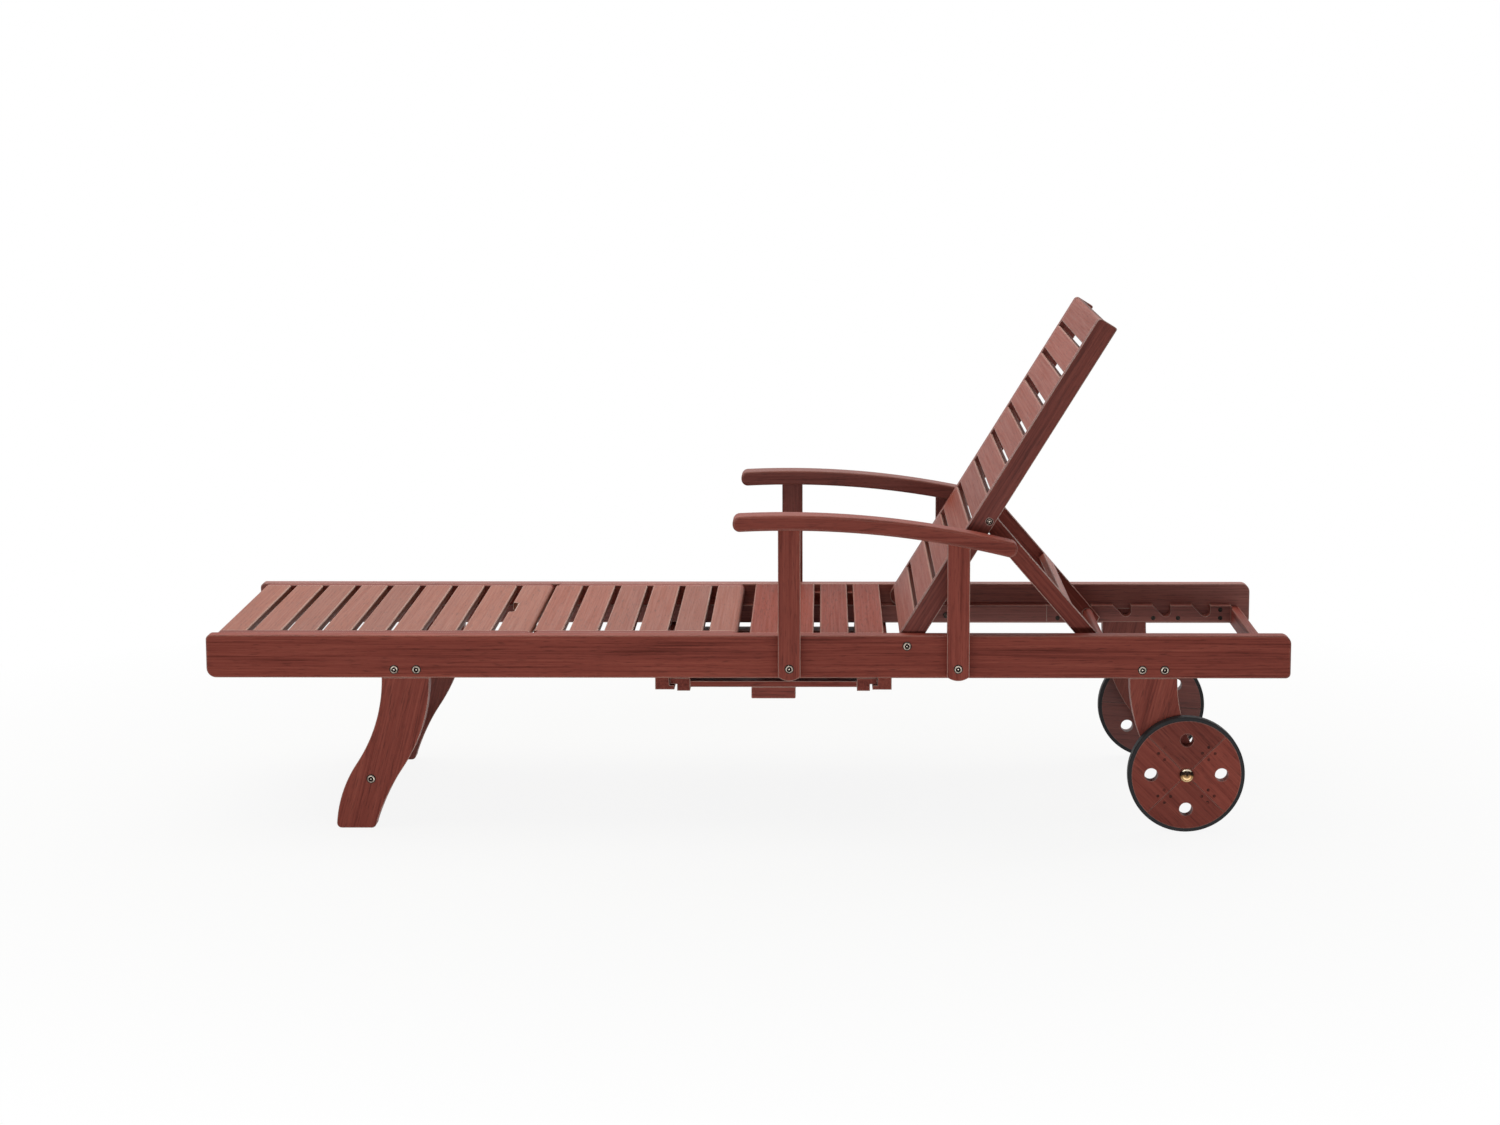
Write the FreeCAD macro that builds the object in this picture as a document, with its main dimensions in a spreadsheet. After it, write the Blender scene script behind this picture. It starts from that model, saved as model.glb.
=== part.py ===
import FreeCAD, Part
import math
import os
import re

import Sketcher
from FreeCAD import Vector

# A wheeled wooden sun lounger. +X points to the head end, +Z up, and the near side is -Y.
# The origin is on the floor under the middle of the side rails.

sizes = {
    # side rails
    "rail_length": 2000,
    "rail_height": 80,
    "rail_thick": 30,
    "rail_top": 364,
    "rail_foot_low_radius": 18,
    "rail_foot_high_radius": 9,
    "rail_head_low_radius": 9,
    "rail_head_high_radius": 16,
    "inside_width": 560,
    "edge_round": 2.5,
    # strips and rails fixed between the side rails
    "ledger_up": 7,
    "ledger_height": 33,
    "ledger_thick": 27,
    "cross_setback": 22,
    "cross_thick": 18,
    "cross_height": 35,
    # slats and the stiles that hold them
    "slat_gap": 11.3,
    "slat_thick": 14.5,
    "slat_round": 3,
    "stile_thick": 22,
    "stile_depth": 39,
    "side_gap": 1.5,
    "rest_gap": 0.5,
    # leg leaf, thigh leaf and seat
    "leaf_setback": 12,
    "nose_radius": 10,
    "knee_toe_radius": 25,
    "knee_gap": 6,
    "finger_nose": 8,
    "hinge_gap": 22,
    "notch_length": 105,
    "notch_in": 12,
    "notch_round": 8,
    "cleat_thick": 22,
    "seat_clear": 0.5,
    # back
    "seat_back_gap": 41.7,
    "back_angle": 58.35,
    "back_length": 696,
    "back_first": 5,
    "back_slat_gap": 10.5,
    "top_slat_width": 57,
    "stile_front_radius": 8,
    "stile_rear_radius": 3,
    # prop under the back
    "prop_bolt_along": 273,
    "prop_bolt_back": 9.6,
    "prop_length": 343,
    "prop_upper": 13.8,
    "prop_lower": 17,
    "prop_tail_upper": 22,
    "prop_tail_lower": 33,
    "prop_swell": 34,
    "prop_thick": 22,
    "prop_side_clear": 1,
    "prop_bar_radius": 10,
    "prop_bar_clear": 0.5,
    "prop_rail_along": 208,
    "prop_rail_width": 33,
    "prop_rail_thick": 14,
    # racks
    "rack_lead": 80,
    "flat_room": 52,
    "rack_seat_depth": 12,
    "rack_screw_inset": 22,
    "rack_screw_offset": 25,
    "rack_screw_up": 8,
    "rack_screw_high": 25,
    # legs
    "front_leg_in": 367.2,
    "rear_leg_in": 252.5,
    "leg_setback": 1,
    "leg_top_width": 88,
    "leg_upper_radius": 290,
    "leg_rear_radius": 305,
    "leg_bend": 34,
    "leg_lower_radius": 230,
    "leg_heel_radius": 430,
    "foot_width": 73.5,
    "foot_corner": 9,
    "rear_end_height": 60,
    "rear_end_width": 84,
    "rear_corner": 20,
    "lap_thick": 13,
    "lap_height": 30,
    "front_bolt_in": 367.2,
    "rear_bolt_in": 252.7,
    "leg_bolt_spacing": 41,
    "leg_bolt_up": 15.5,
    "stretcher_in": 300,
    "stretcher_z": 93,
    "stretcher_thick": 22,
    "stretcher_height": 45,
    # wheels
    "axle_in": 191.5,
    "axle_radius": 6,
    "wheel_radius": 108,
    "wheel_thick": 24,
    "wheel_gap": 2,
    "wheel_joint": 0.6,
    "near_wheel_turn": 45,
    "far_wheel_turn": 4,
    "wheel_hole_radius": 12.3,
    "wheel_hole_circle": 65,
    "tyre_thick": 7,
    "tyre_round": 3,
    "cap_radius": 13,
    "cap_rim": 2,
    "cap_height": 9,
    "cap_bore": 5,
    "cap_gap": 0.5,
    # arms
    "post_width": 41,
    "post_thick": 22,
    "rear_post_past": 93.7,
    "post_span": 310.5,
    "post_toe_radius": 32,
    "post_toe_drop": 1,
    "post_bolt_up": 21,
    "arm_lead": 102,
    "arm_trail": 102.5,
    "arm_apex_lead": 5,
    "arm_rise": 199.5,
    "arm_radius": 1697,
    "arm_thick": 28.5,
    "arm_front_width": 54,
    "arm_rear_width": 42,
    "arm_end_radius": 13,
    "arm_edge_round": 4,
    # side tray
    "tray_lead": 29.5,
    "tray_span": 437,
    "tray_depth": 580,
    "runner_width": 26,
    "runner_lip": 9.5,
    "runner_height": 23,
    "runner_lip_thick": 7.5,
    "runner_length": 604,
    "tongue_side_clear": 1,
    "tongue_clear": 0.3,
    "tongue_length": 13,
    "tongue_thick": 11,
    "batten_width": 24,
    "batten_height": 23.5,
    "tray_slat_width": 54,
    "tray_slat_thick": 11,
    "tray_slat_drop": 9.5,
    "pull_width": 82,
    "pull_height": 21.5,
    "pull_thick": 20,
    # bolts, screws and hinges
    "bolt_radius": 4,
    "bolt_clear": 0.25,
    "pivot_clear": 0.05,
    "bolt_head_radius": 8.5,
    "bolt_head_height": 3.5,
    "nut_radius": 6.5,
    "nut_height": 6.5,
    "nut_gap": 0.5,
    "leg_bolt_grip": 12,
    "stretcher_grip": 40,
    "sunk_head_radius": 6,
    "sunk_head_height": 3.5,
    "sink_radius": 6.5,
    "sink_depth": 4,
    "pivot_head_radius": 4.6,
    "pivot_head_height": 4,
    "pivot_grip": 20,
    "screw_radius": 2.5,
    "screw_head_radius": 4.5,
    "screw_head_height": 0.5,
    "screw_grip": 16,
    "hinge_y": 150,
    "hinge_length": 60,
    "hinge_reach": 28,
    "hinge_plate": 2,
    "hinge_knuckle": 3.5,
    "hinge_pin": 1.8,
    "hinge_play": 0.5,
}

# how many of each repeated piece
leg_slats = 9
thigh_slats = 6
seat_slats = 4
back_slats = 10
tray_slats = 9
rack_notches = 4
wheel_boards = 4
sides = (("near", -1), ("far", 1))

doc = FreeCAD.newDocument("Lounger")
sheet = doc.addObject("Spreadsheet::Sheet", "Sizes")
for row, (alias, size) in enumerate(sizes.items(), start=1):
    sheet.set(f"A{row}", alias)
    sheet.set(f"B{row}", str(size))
    sheet.setAlias(f"B{row}", alias)
doc.recompute()
subparts = []

# Lines that several pieces share, worked out in the sheet from the sizes
bed_slats = leg_slats + thigh_slats + seat_slats
bed_sections = 3
bed_gaps = bed_slats - bed_sections
lines = {
    "rail_bottom": "rail_top - rail_height",
    "rail_end": "rail_length/2",
    "rail_inner": "inside_width/2",
    "rail_outer": "rail_inner + rail_thick",
    "ledger_face": "rail_inner - ledger_thick",
    "ledger_bottom": "rail_bottom + ledger_up",
    "ledger_top": "ledger_bottom + ledger_height",
    "stile_half": "stile_depth/2",
    "stile_outer": "rail_inner - side_gap",
    "stile_inner": "stile_outer - stile_thick",
    "pivot_z": "ledger_top + rest_gap + stile_half",
    "leaf_top": "pivot_z + stile_half",
    "slat_under": "leaf_top - slat_thick",
    "head_rail_x": "rail_end - cross_setback - cross_thick",
    "bar_z": "ledger_top - rack_seat_depth",
    "flat_bar_x": "head_rail_x - flat_room",
    "flat_rise": "pivot_z - prop_bolt_back - bar_z",
    "back_pivot_x": "flat_bar_x - sqrt(prop_length^2 - flat_rise^2) - prop_bolt_along",
    "prop_bolt_x": "back_pivot_x + prop_bolt_along*cos(back_angle) + prop_bolt_back*sin(back_angle)",
    "prop_bolt_z": "pivot_z + prop_bolt_along*sin(back_angle) - prop_bolt_back*cos(back_angle)",
    "prop_angle": "asin((prop_bolt_z - bar_z)/prop_length)",
    "bar_x": "prop_bolt_x + prop_length*cos(prop_angle)",
    "rack_start": "bar_x - rack_lead",
    "rack_pitch": f"(flat_bar_x - bar_x)/{rack_notches - 1}",
    "leg_start": "leaf_setback - rail_end",
    "seat_end": "back_pivot_x - seat_back_gap",
    "bed_length": "seat_end - leg_start - finger_nose - knee_gap - hinge_gap",
    "slat_width": f"(bed_length - {bed_gaps}*slat_gap)/{bed_slats}",
    "slat_pitch": "slat_width + slat_gap",
    "leg_end": f"leg_start + {leg_slats - 1}*slat_pitch + slat_width + finger_nose",
    "thigh_start": "leg_end + knee_gap",
    "thigh_end": f"thigh_start + {thigh_slats - 1}*slat_pitch + slat_width",
    "thigh_pivot_x": "thigh_end - stile_half",
    "seat_start": "thigh_end + hinge_gap",
    "knee_x": "leg_end + knee_gap/2",
    "knee_z": "slat_under - hinge_knuckle",
    "back_pitch": f"(back_length - top_slat_width - back_first)/{back_slats}",
    "prop_outer": "ledger_face - prop_side_clear",
    "prop_inner": "prop_outer - prop_thick",
    "leg_bolt_z": "rail_bottom + leg_bolt_up",
    "post_bolt_z": "rail_bottom + post_bolt_up",
    "post_outer": "rail_outer + post_thick",
    "arm_y": "rail_outer + post_thick/2",
    "arm_apex_z": "rail_top + arm_rise",
    "front_leg_x": "front_leg_in - rail_end",
    "rear_leg_x": "rail_end - rear_leg_in",
    "front_bolt_x": "front_bolt_in - rail_end",
    "rear_bolt_x": "rail_end - rear_bolt_in",
    "stretcher_x": "stretcher_in - rail_end",
    "axle_x": "rail_end - axle_in",
    "rear_post_x": "back_pivot_x + rear_post_past",
    "front_post_x": "rear_post_x - post_span",
    "arm_front": "front_post_x - arm_lead",
    "arm_rear": "rear_post_x + arm_trail",
    "arm_apex_x": "front_post_x - arm_apex_lead",
    "tray_x": "front_post_x - tray_lead",
    "lap_face": "rail_inner + lap_thick",
    "leg_outer": "rail_outer - leg_setback",
    "wheel_inner": "leg_outer + wheel_gap",
    "wheel_outer": "wheel_inner + wheel_thick",
    "bolt_hole": "bolt_radius + bolt_clear",
    "pivot_hole": "bolt_radius + pivot_clear",
}
for row, (alias, formula) in enumerate(lines.items(), start=len(sizes) + 1):
    sheet.set(f"A{row}", alias)
    sheet.set(f"B{row}", f"={formula}")
    sheet.setAlias(f"B{row}", alias)
    doc.recompute()
aliases = {*sizes, *lines}


def tied(formula):
    """The formula with the sheet's name before each of its sizes."""
    return re.sub(r"[a-z_]+", lambda word: f"Sizes.{word[0]}" if word[0] in aliases else word[0], str(formula))


def number(formula):
    """The formula's value."""
    return float(sheet.evalExpression(tied(formula)))


def bind(item, **formulas):
    """Tie properties of an object to formulas."""
    for name, formula in formulas.items():
        item.setExpression(name, tied(formula))


def place(item, x="0", y="0", z="0", turn="0"):
    """Tie an object's place, and its turn about the Y axis, to formulas."""
    angle = number(turn)
    if angle:
        item.Placement = FreeCAD.Placement(Vector(), FreeCAD.Rotation(Vector(0, 1, 0), angle))
        item.setExpression("Placement.Rotation.Angle", tied(turn))
    for axis, formula in zip("xyz", (x, y, z)):
        item.setExpression(f"Placement.Base.{axis}", tied(formula))


def keep(label, item):
    """Name an object as a finished piece."""
    item.Label = label
    subparts.append(item)
    return item


def y_low(side, near_middle, away):
    """The lower Y of a piece that reaches from one distance from the middle to another."""
    return near_middle if side > 0 else f"-({away})"


def y_high(side, near_middle, away):
    """The higher Y of such a piece."""
    return away if side > 0 else f"-({near_middle})"


def box(name, x0, x1, y0, y1, z0, z1):
    """A block between two corners."""
    item = doc.addObject("Part::Box", name)
    bind(item, Length=f"({x1}) - ({x0})", Width=f"({y1}) - ({y0})", Height=f"({z1}) - ({z0})")
    place(item, x0, y0, z0)
    return item


def side_box(name, side, x0, x1, near_middle, away, z0, z1):
    """A block on one side, between two distances from the middle."""
    low = y_low(side, near_middle, away)
    return box(name, x0, x1, low, f"{low} + ({away}) - ({near_middle})", z0, z1)


def rod(name, x, z, radius, y0, y1):
    """A cylinder along Y."""
    item = doc.addObject("Part::Cylinder", name)
    bind(item, Radius=radius, Height=f"({y1}) - ({y0})")
    item.Placement = FreeCAD.Placement(Vector(), FreeCAD.Rotation(Vector(1, 0, 0), -90))
    for axis, formula in zip("xyz", (x, y0, z)):
        item.setExpression(f"Placement.Base.{axis}", tied(formula))
    return item


def side_rod(name, side, x, z, radius, near_middle, away):
    """A cylinder along Y on one side, between two distances from the middle."""
    low = y_low(side, near_middle, away)
    return rod(name, x, z, radius, low, f"{low} + ({away}) - ({near_middle})")


def fused(name, items):
    """Several solids joined into one."""
    item = doc.addObject("Part::MultiFuse", name)
    item.Shapes = items
    return item


def cut(name, base, tools):
    """A solid with tools taken out of it."""
    item = doc.addObject("Part::Cut", name)
    item.Base = base
    item.Tool = tools[0] if len(tools) == 1 else fused(f"{name}_tools", tools)
    return item


def group(label, items):
    """Separate solids of one kind, kept together."""
    item = doc.addObject("Part::Compound", label)
    item.Links = items
    return keep(label, item)


def origin_feature(body, role):
    """One of a body's own planes or axes."""
    return [feature for feature in body.Origin.OriginFeatures if feature.Role == role][0]


def arc_between(start, stop, radius, turn):
    """The arc of a radius from one point to another, and which of its ends comes first."""
    chord = stop - start
    rise = math.sqrt(max(radius**2 - (chord.Length/2)**2, 0))
    left = Vector(-chord.y, chord.x, 0).normalize()
    centre = (start + stop)/2 + left*(rise if turn == "left" else -rise)
    first, last = (start, stop) if turn == "left" else (stop, start)
    angles = [math.atan2(point.y - centre.y, point.x - centre.x) for point in (first, last)]
    if angles[1] < angles[0]:
        angles[1] += 2*math.pi
    arc = Part.ArcOfCircle(Part.Circle(centre, Vector(0, 0, 1), radius), *angles)
    return arc, (1, 2) if turn == "left" else (2, 1)


def fix(sketch, kind, *points_and_formula):
    """A dimension of a sketch, tied to a formula."""
    *points, formula = points_and_formula
    index = sketch.addConstraint(Sketcher.Constraint(kind, *points, number(formula)))
    sketch.setExpression(f"Constraints[{index}]", tied(formula))


def draw(sketch, path, holes=()):
    """A closed outline, and round holes in it.

    Each step of the path is a corner (across, up), or (across, up, radius, turn) where an arc that
    turns left or right leads to the next corner.
    """
    corners = [Vector(number(step[0]), number(step[1]), 0) for step in path]
    ends = []
    for index, step in enumerate(path):
        start, stop = corners[index], corners[(index + 1) % len(path)]
        if (stop - start).Length < 1e-6:
            continue
        if len(step) == 2:
            edge = sketch.addGeometry(Part.LineSegment(start, stop))
            first, last = 1, 2
        else:
            arc, (first, last) = arc_between(start, stop, number(step[2]), step[3])
            edge = sketch.addGeometry(arc)
            fix(sketch, "Radius", edge, step[2])
        fix(sketch, "DistanceX", -1, 1, edge, first, step[0])
        fix(sketch, "DistanceY", -1, 1, edge, first, step[1])
        ends.append((edge, first, last))
    for (edge, _, last), (following, first, _) in zip(ends, ends[1:] + ends[:1]):
        sketch.addConstraint(Sketcher.Constraint("Coincident", edge, last, following, first))
    for across, up, radius in holes:
        centre = Vector(number(across), number(up), 0)
        circle = sketch.addGeometry(Part.Circle(centre, Vector(0, 0, 1), number(radius)))
        fix(sketch, "Radius", circle, radius)
        fix(sketch, "DistanceX", -1, 1, circle, 3, across)
        fix(sketch, "DistanceY", -1, 1, circle, 3, up)


def sketch_on(body, role, name):
    """An empty sketch on one of a body's own planes."""
    sketch = body.newObject("Sketcher::SketchObject", name)
    sketch.AttachmentSupport = [(origin_feature(body, role), "")]
    sketch.MapMode = "FlatFace"
    return sketch


def plate(name, path, y0, y1, holes=(), x="0", z="0", turn="0"):
    """A side outline given a thickness, from the higher Y down to the lower one."""
    body = doc.addObject("PartDesign::Body", name)
    sketch = sketch_on(body, "XZ_Plane", f"{name}_outline")
    draw(sketch, path, holes)
    pad = body.newObject("PartDesign::Pad", f"{name}_pad")
    pad.Profile = sketch
    bind(pad, Length=f"({y1}) - ({y0})")
    place(body, x, y1, z, turn)
    return body


def side_plate(name, side, path, near_middle, away, holes=(), x="0", z="0", turn="0"):
    """Such a plate on one side, between two distances from the middle."""
    high = y_high(side, near_middle, away)
    return plate(name, path, f"{high} - (({away}) - ({near_middle}))", high, holes, x, z, turn)


def edge_names(shape, wanted):
    """The names of the edges that are among the wanted ones."""
    return [
        f"Edge{index}"
        for index, edge in enumerate(shape.Edges, start=1)
        if any(edge.isSame(other) for other in wanted)
    ]


def round_edges(body, radius, wanted):
    """Round the edges of a body's last feature that a function picks from its shape."""
    doc.recompute()
    base = body.Tip
    fillet = body.newObject("PartDesign::Fillet", f"{body.Name}_round_{len(body.Group)}")
    fillet.Base = (base, edge_names(base.Shape, wanted(base.Shape)))
    bind(fillet, Radius=radius)
    return body


def rims(shape):
    """The outer edges of a plate's two flat sides."""
    flat = [face for face in shape.Faces if abs(face.normalAt(0, 0).y) > 0.9]
    return [edge for face in flat for edge in face.OuterWire.Edges]


def eased(body):
    """A plate with the edges of both its sides eased."""
    return round_edges(body, "edge_round", rims)


def row_of(body, count, step):
    """Repeat a body's last feature along X."""
    first = body.Tip
    pattern = body.newObject("PartDesign::LinearPattern", f"{body.Name}_row")
    pattern.Originals = [first]
    pattern.Direction = (origin_feature(body, "X_Axis"), [""])
    bind(pattern, Length=f"{count - 1}*({step})")
    pattern.Occurrences = count
    body.Tip = pattern
    return body


def rounded(x0, z0, x1, z1, low_left, low_right, high_right, high_left):
    """The outline of a rectangle with a radius of its own at each corner."""
    return [
        (f"{x0} + {low_left}", z0),
        (f"{x1} - {low_right}", z0, low_right, "left"),
        (x1, f"{z0} + {low_right}"),
        (x1, f"{z1} - {high_right}", high_right, "left"),
        (f"{x1} - {high_right}", z1),
        (f"{x0} + {high_left}", z1, high_left, "left"),
        (x0, f"{z1} - {high_left}"),
        (x0, f"{z0} + {low_left}", low_left, "left"),
    ]


def slat_section(x0, x1, z0, z1, left="slat_round", right="slat_round"):
    """The section of a slat, with its upper edges rounded."""
    return rounded(x0, z0, x1, z1, "slat_round", "slat_round", right, left)


def add_side_rails():
    """The two long rails that carry everything."""
    bolt_places = [
        (f"{bolt_x} + {way}*leg_bolt_spacing/2", "leg_bolt_z")
        for bolt_x in ("front_bolt_x", "rear_bolt_x")
        for way in (-1, 1)
    ]
    bolt_places += [("front_post_x", "post_bolt_z"), ("rear_post_x", "post_bolt_z"), ("back_pivot_x", "pivot_z")]
    holes = [(x, z, "bolt_hole") for x, z in bolt_places]
    outline = rounded("-rail_end", "rail_bottom", "rail_end", "rail_top", "rail_foot_low_radius",
                      "rail_head_low_radius", "rail_head_high_radius", "rail_foot_high_radius")
    for name, side in sides:
        rail = eased(side_plate(f"{name}_rail_plate", side, outline, "rail_inner", "rail_outer", holes))
        blind = [
            side_rod(f"{name}_rail_pivot_hole", side, "thigh_pivot_x", "pivot_z", "bolt_hole",
                     "rail_inner", "rail_inner + pivot_grip")
        ]
        for index, (x, z) in enumerate(rack_screw_places()):
            blind.append(side_rod(f"{name}_rail_screw_hole_{index}", side, x, z, "screw_radius",
                                  "rail_inner", "rail_inner + screw_grip"))
        for end in ("front", "rear"):
            blind.append(side_box(f"{name}_rail_{end}_housing", side, f"{end}_leg_x - leg_top_width/2",
                                  f"{end}_leg_x + leg_top_width/2", "rail_inner", "lap_face",
                                  "rail_bottom", "rail_bottom + lap_height"))
        keep(f"{name}_side_rail", cut(f"{name}_side_rail", rail, blind))


def rack_screw_places():
    """Where the screws go through a rack."""
    low = "(ledger_bottom + rack_screw_up)"
    third_notch = "bar_x + 2*rack_pitch"
    last = "head_rail_x - rack_screw_inset"
    return [
        ("rack_start + rack_screw_inset", low),
        (f"{third_notch} - rack_screw_offset", low),
        (f"{third_notch} + rack_screw_offset", low),
        (last, low),
        (last, "(ledger_bottom + rack_screw_high)"),
    ]


def add_ledgers():
    """Strips along the rails' inner faces, on which the leaves lie."""
    start = "(-rail_end + cross_setback + cross_thick)"
    for name, side in sides:
        strip = side_box(f"{name}_ledger_strip", side, start, "rack_start", "ledger_face", "rail_inner",
                         "ledger_bottom", "ledger_top")
        holes = [
            side_rod(f"{name}_ledger_{post}_hole", side, f"{post}_post_x", "post_bolt_z", "bolt_hole",
                     "ledger_face", "rail_inner")
            for post in ("front", "rear")
        ]
        keep(f"{name}_ledger", cut(f"{name}_ledger", strip, holes))


def rack_outline():
    """A strip with notches: a slope down to a round seat, and an upright wall behind it."""
    seat = "prop_bar_radius"
    diagonal = f"{seat}*sqrt(0.5)"
    path = [("rack_start", "ledger_bottom"), ("head_rail_x", "ledger_bottom"), ("head_rail_x", "ledger_top")]
    for index in reversed(range(rack_notches)):
        centre = f"(bar_x + {index}*rack_pitch)"
        path += [
            (f"{centre} + {seat}", "ledger_top"),
            (f"{centre} + {seat}", "bar_z", seat, "right"),
            (f"{centre} - {diagonal}", f"bar_z - {diagonal}"),
            (f"{centre} - rack_seat_depth - 2*{diagonal}", "ledger_top"),
        ]
    return path + [("rack_start", "ledger_top")]


def add_racks():
    """Notched racks at the head end, which hold the back's prop."""
    holes = [(x, z, "screw_radius") for x, z in rack_screw_places()]
    for name, side in sides:
        label = f"{name}_rack"
        keep(label, side_plate(label, side, rack_outline(), "ledger_face", "rail_inner", holes))


def add_cross_rails():
    """Rails between the side rails, near both ends."""
    top = "rail_bottom + cross_height"
    for label, x in (("head_cross_rail", "head_rail_x"), ("foot_cross_rail", "-head_rail_x - cross_thick")):
        section = rounded(x, "rail_bottom", f"{x} + cross_thick", top, *["edge_round"]*4)
        keep(label, plate(label, section, "-rail_inner", "rail_inner"))


def add_seat():
    """Fixed seat slats on cleats."""
    cleats = [
        side_box(f"{name}_seat_cleat", side, "seat_start", "seat_end", "rail_inner - cleat_thick", "rail_inner",
                 "ledger_top", "slat_under")
        for name, side in sides
    ]
    group("seat_cleats", cleats)
    reach = "(rail_inner - seat_clear)"
    section = slat_section("seat_start", "seat_start + slat_width", "slat_under", "leaf_top")
    keep("seat_slats", row_of(plate("seat_slats", section, f"-{reach}", reach), seat_slats, "slat_pitch"))


def leaf_slat(name, x, width="slat_width", left="slat_round", right="slat_round"):
    """One slat between the stiles of a leaf."""
    section = slat_section(x, f"{x} + {width}", "slat_under", "leaf_top", left, right)
    return plate(name, section, "-stile_inner", "stile_inner")


def add_leaf_stiles(leaf, start, stop, toes, holes=()):
    """The two stiles of a leaf, with rounded ends."""
    outline = rounded(start, "leaf_top - stile_depth", stop, "leaf_top", *toes, "nose_radius", "nose_radius")
    for name, side in sides:
        label = f"{name}_{leaf}_stile"
        keep(label, side_plate(label, side, outline, "stile_inner", "stile_outer", holes))


def add_leg_leaf():
    """The leaf under the lower legs, which slides on the ledgers when the knee goes up."""
    add_leaf_stiles("leg", "leg_start", "leg_end", ("stile_half", "knee_toe_radius"))
    keep("leg_foot_slat", leaf_slat("leg_foot_slat", "leg_start", left="nose_radius"))
    plain = leaf_slat("leg_slats", "leg_start + slat_pitch")
    keep("leg_slats", row_of(plain, leg_slats - 2, "slat_pitch"))
    last = "(leg_end - slat_width - finger_nose)"
    blank = leaf_slat("finger_slat_blank", last, "(slat_width + finger_nose)", right="nose_radius")
    corner = "notch_round"
    grip = doc.addObject("PartDesign::Body", "finger_notch")
    sketch = sketch_on(grip, "XY_Plane", "finger_notch_outline")
    draw(sketch, rounded(f"{last} - {corner}", "-notch_length/2", f"{last} + notch_in", "notch_length/2",
                         *[corner]*4))
    pad = grip.newObject("PartDesign::Pad", "finger_notch_pad")
    pad.Profile = sketch
    bind(pad, Length="2*slat_thick")
    place(grip, z="slat_under - slat_thick/2")
    keep("finger_slat", cut("finger_slat", blank, [grip]))


def add_thigh_leaf():
    """The leaf under the thighs, which turns on screws in the rails."""
    hole = ("thigh_pivot_x", "pivot_z", "pivot_hole")
    add_leaf_stiles("thigh", "thigh_start", "thigh_end", ("knee_toe_radius", "stile_half"), [hole])
    ends = [
        leaf_slat("thigh_knee_slat", "thigh_start"),
        leaf_slat("thigh_seat_slat", "(thigh_end - slat_width)", right="nose_radius"),
    ]
    group("thigh_end_slats", ends)
    plain = leaf_slat("thigh_slats", "thigh_start + slat_pitch")
    keep("thigh_slats", row_of(plain, thigh_slats - 2, "slat_pitch"))


def knuckle_spans():
    """The three stretches of a hinge's barrel, along Y from the hinge's middle."""
    third = "hinge_length/6"
    return ((f"-3*{third}", f"-{third}"), (f"-{third}", third), (third, f"3*{third}"))


def hinge_half(name, side, way, spans):
    """One plate of a knee hinge with its knuckles. Way is -1 for the leg leaf and 1 for the thigh leaf."""
    middle = f"({side}*hinge_y)"
    barrel_edge = f"knee_x + {way}*(hinge_knuckle + hinge_play)"
    far_edge = f"knee_x + {way}*(knee_gap/2 + hinge_reach)"
    under = "slat_under - hinge_plate"
    x0, x1 = (far_edge, barrel_edge) if way < 0 else (barrel_edge, far_edge)
    solids = [box(f"{name}_plate", x0, x1, f"{middle} - hinge_length/2", f"{middle} + hinge_length/2",
                  under, "slat_under")]
    pins = []
    for index, (low, high) in enumerate(spans):
        y0, y1 = f"{middle} + {low} + hinge_play/2", f"{middle} + {high} - hinge_play/2"
        x0, x1 = (barrel_edge, "knee_x") if way < 0 else ("knee_x", barrel_edge)
        solids.append(box(f"{name}_tab_{index}", x0, x1, y0, y1, under, "slat_under"))
        solids.append(rod(f"{name}_knuckle_{index}", "knee_x", "knee_z", "hinge_knuckle", y0, y1))
        pins.append(rod(f"{name}_bore_{index}", "knee_x", "knee_z", "hinge_pin + pivot_clear", y0, y1))
    return cut(name, fused(f"{name}_blank", solids), pins)


def add_knee_hinges():
    """Butt hinges under the slats on both sides of the knee."""
    first, middle, last = knuckle_spans()
    leg_plates = []
    thigh_plates = []
    pins = []
    for name, side in sides:
        leg_plates.append(hinge_half(f"{name}_leg_plate", side, -1, (first, last)))
        thigh_plates.append(hinge_half(f"{name}_thigh_plate", side, 1, (middle,)))
        pins.append(rod(f"{name}_hinge_pin", "knee_x", "knee_z", "hinge_pin",
                        f"{side}*hinge_y - hinge_length/2", f"{side}*hinge_y + hinge_length/2"))
    group("knee_hinge_leg_plates", leg_plates)
    group("knee_hinge_thigh_plates", thigh_plates)
    group("knee_hinge_pins", pins)


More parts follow.
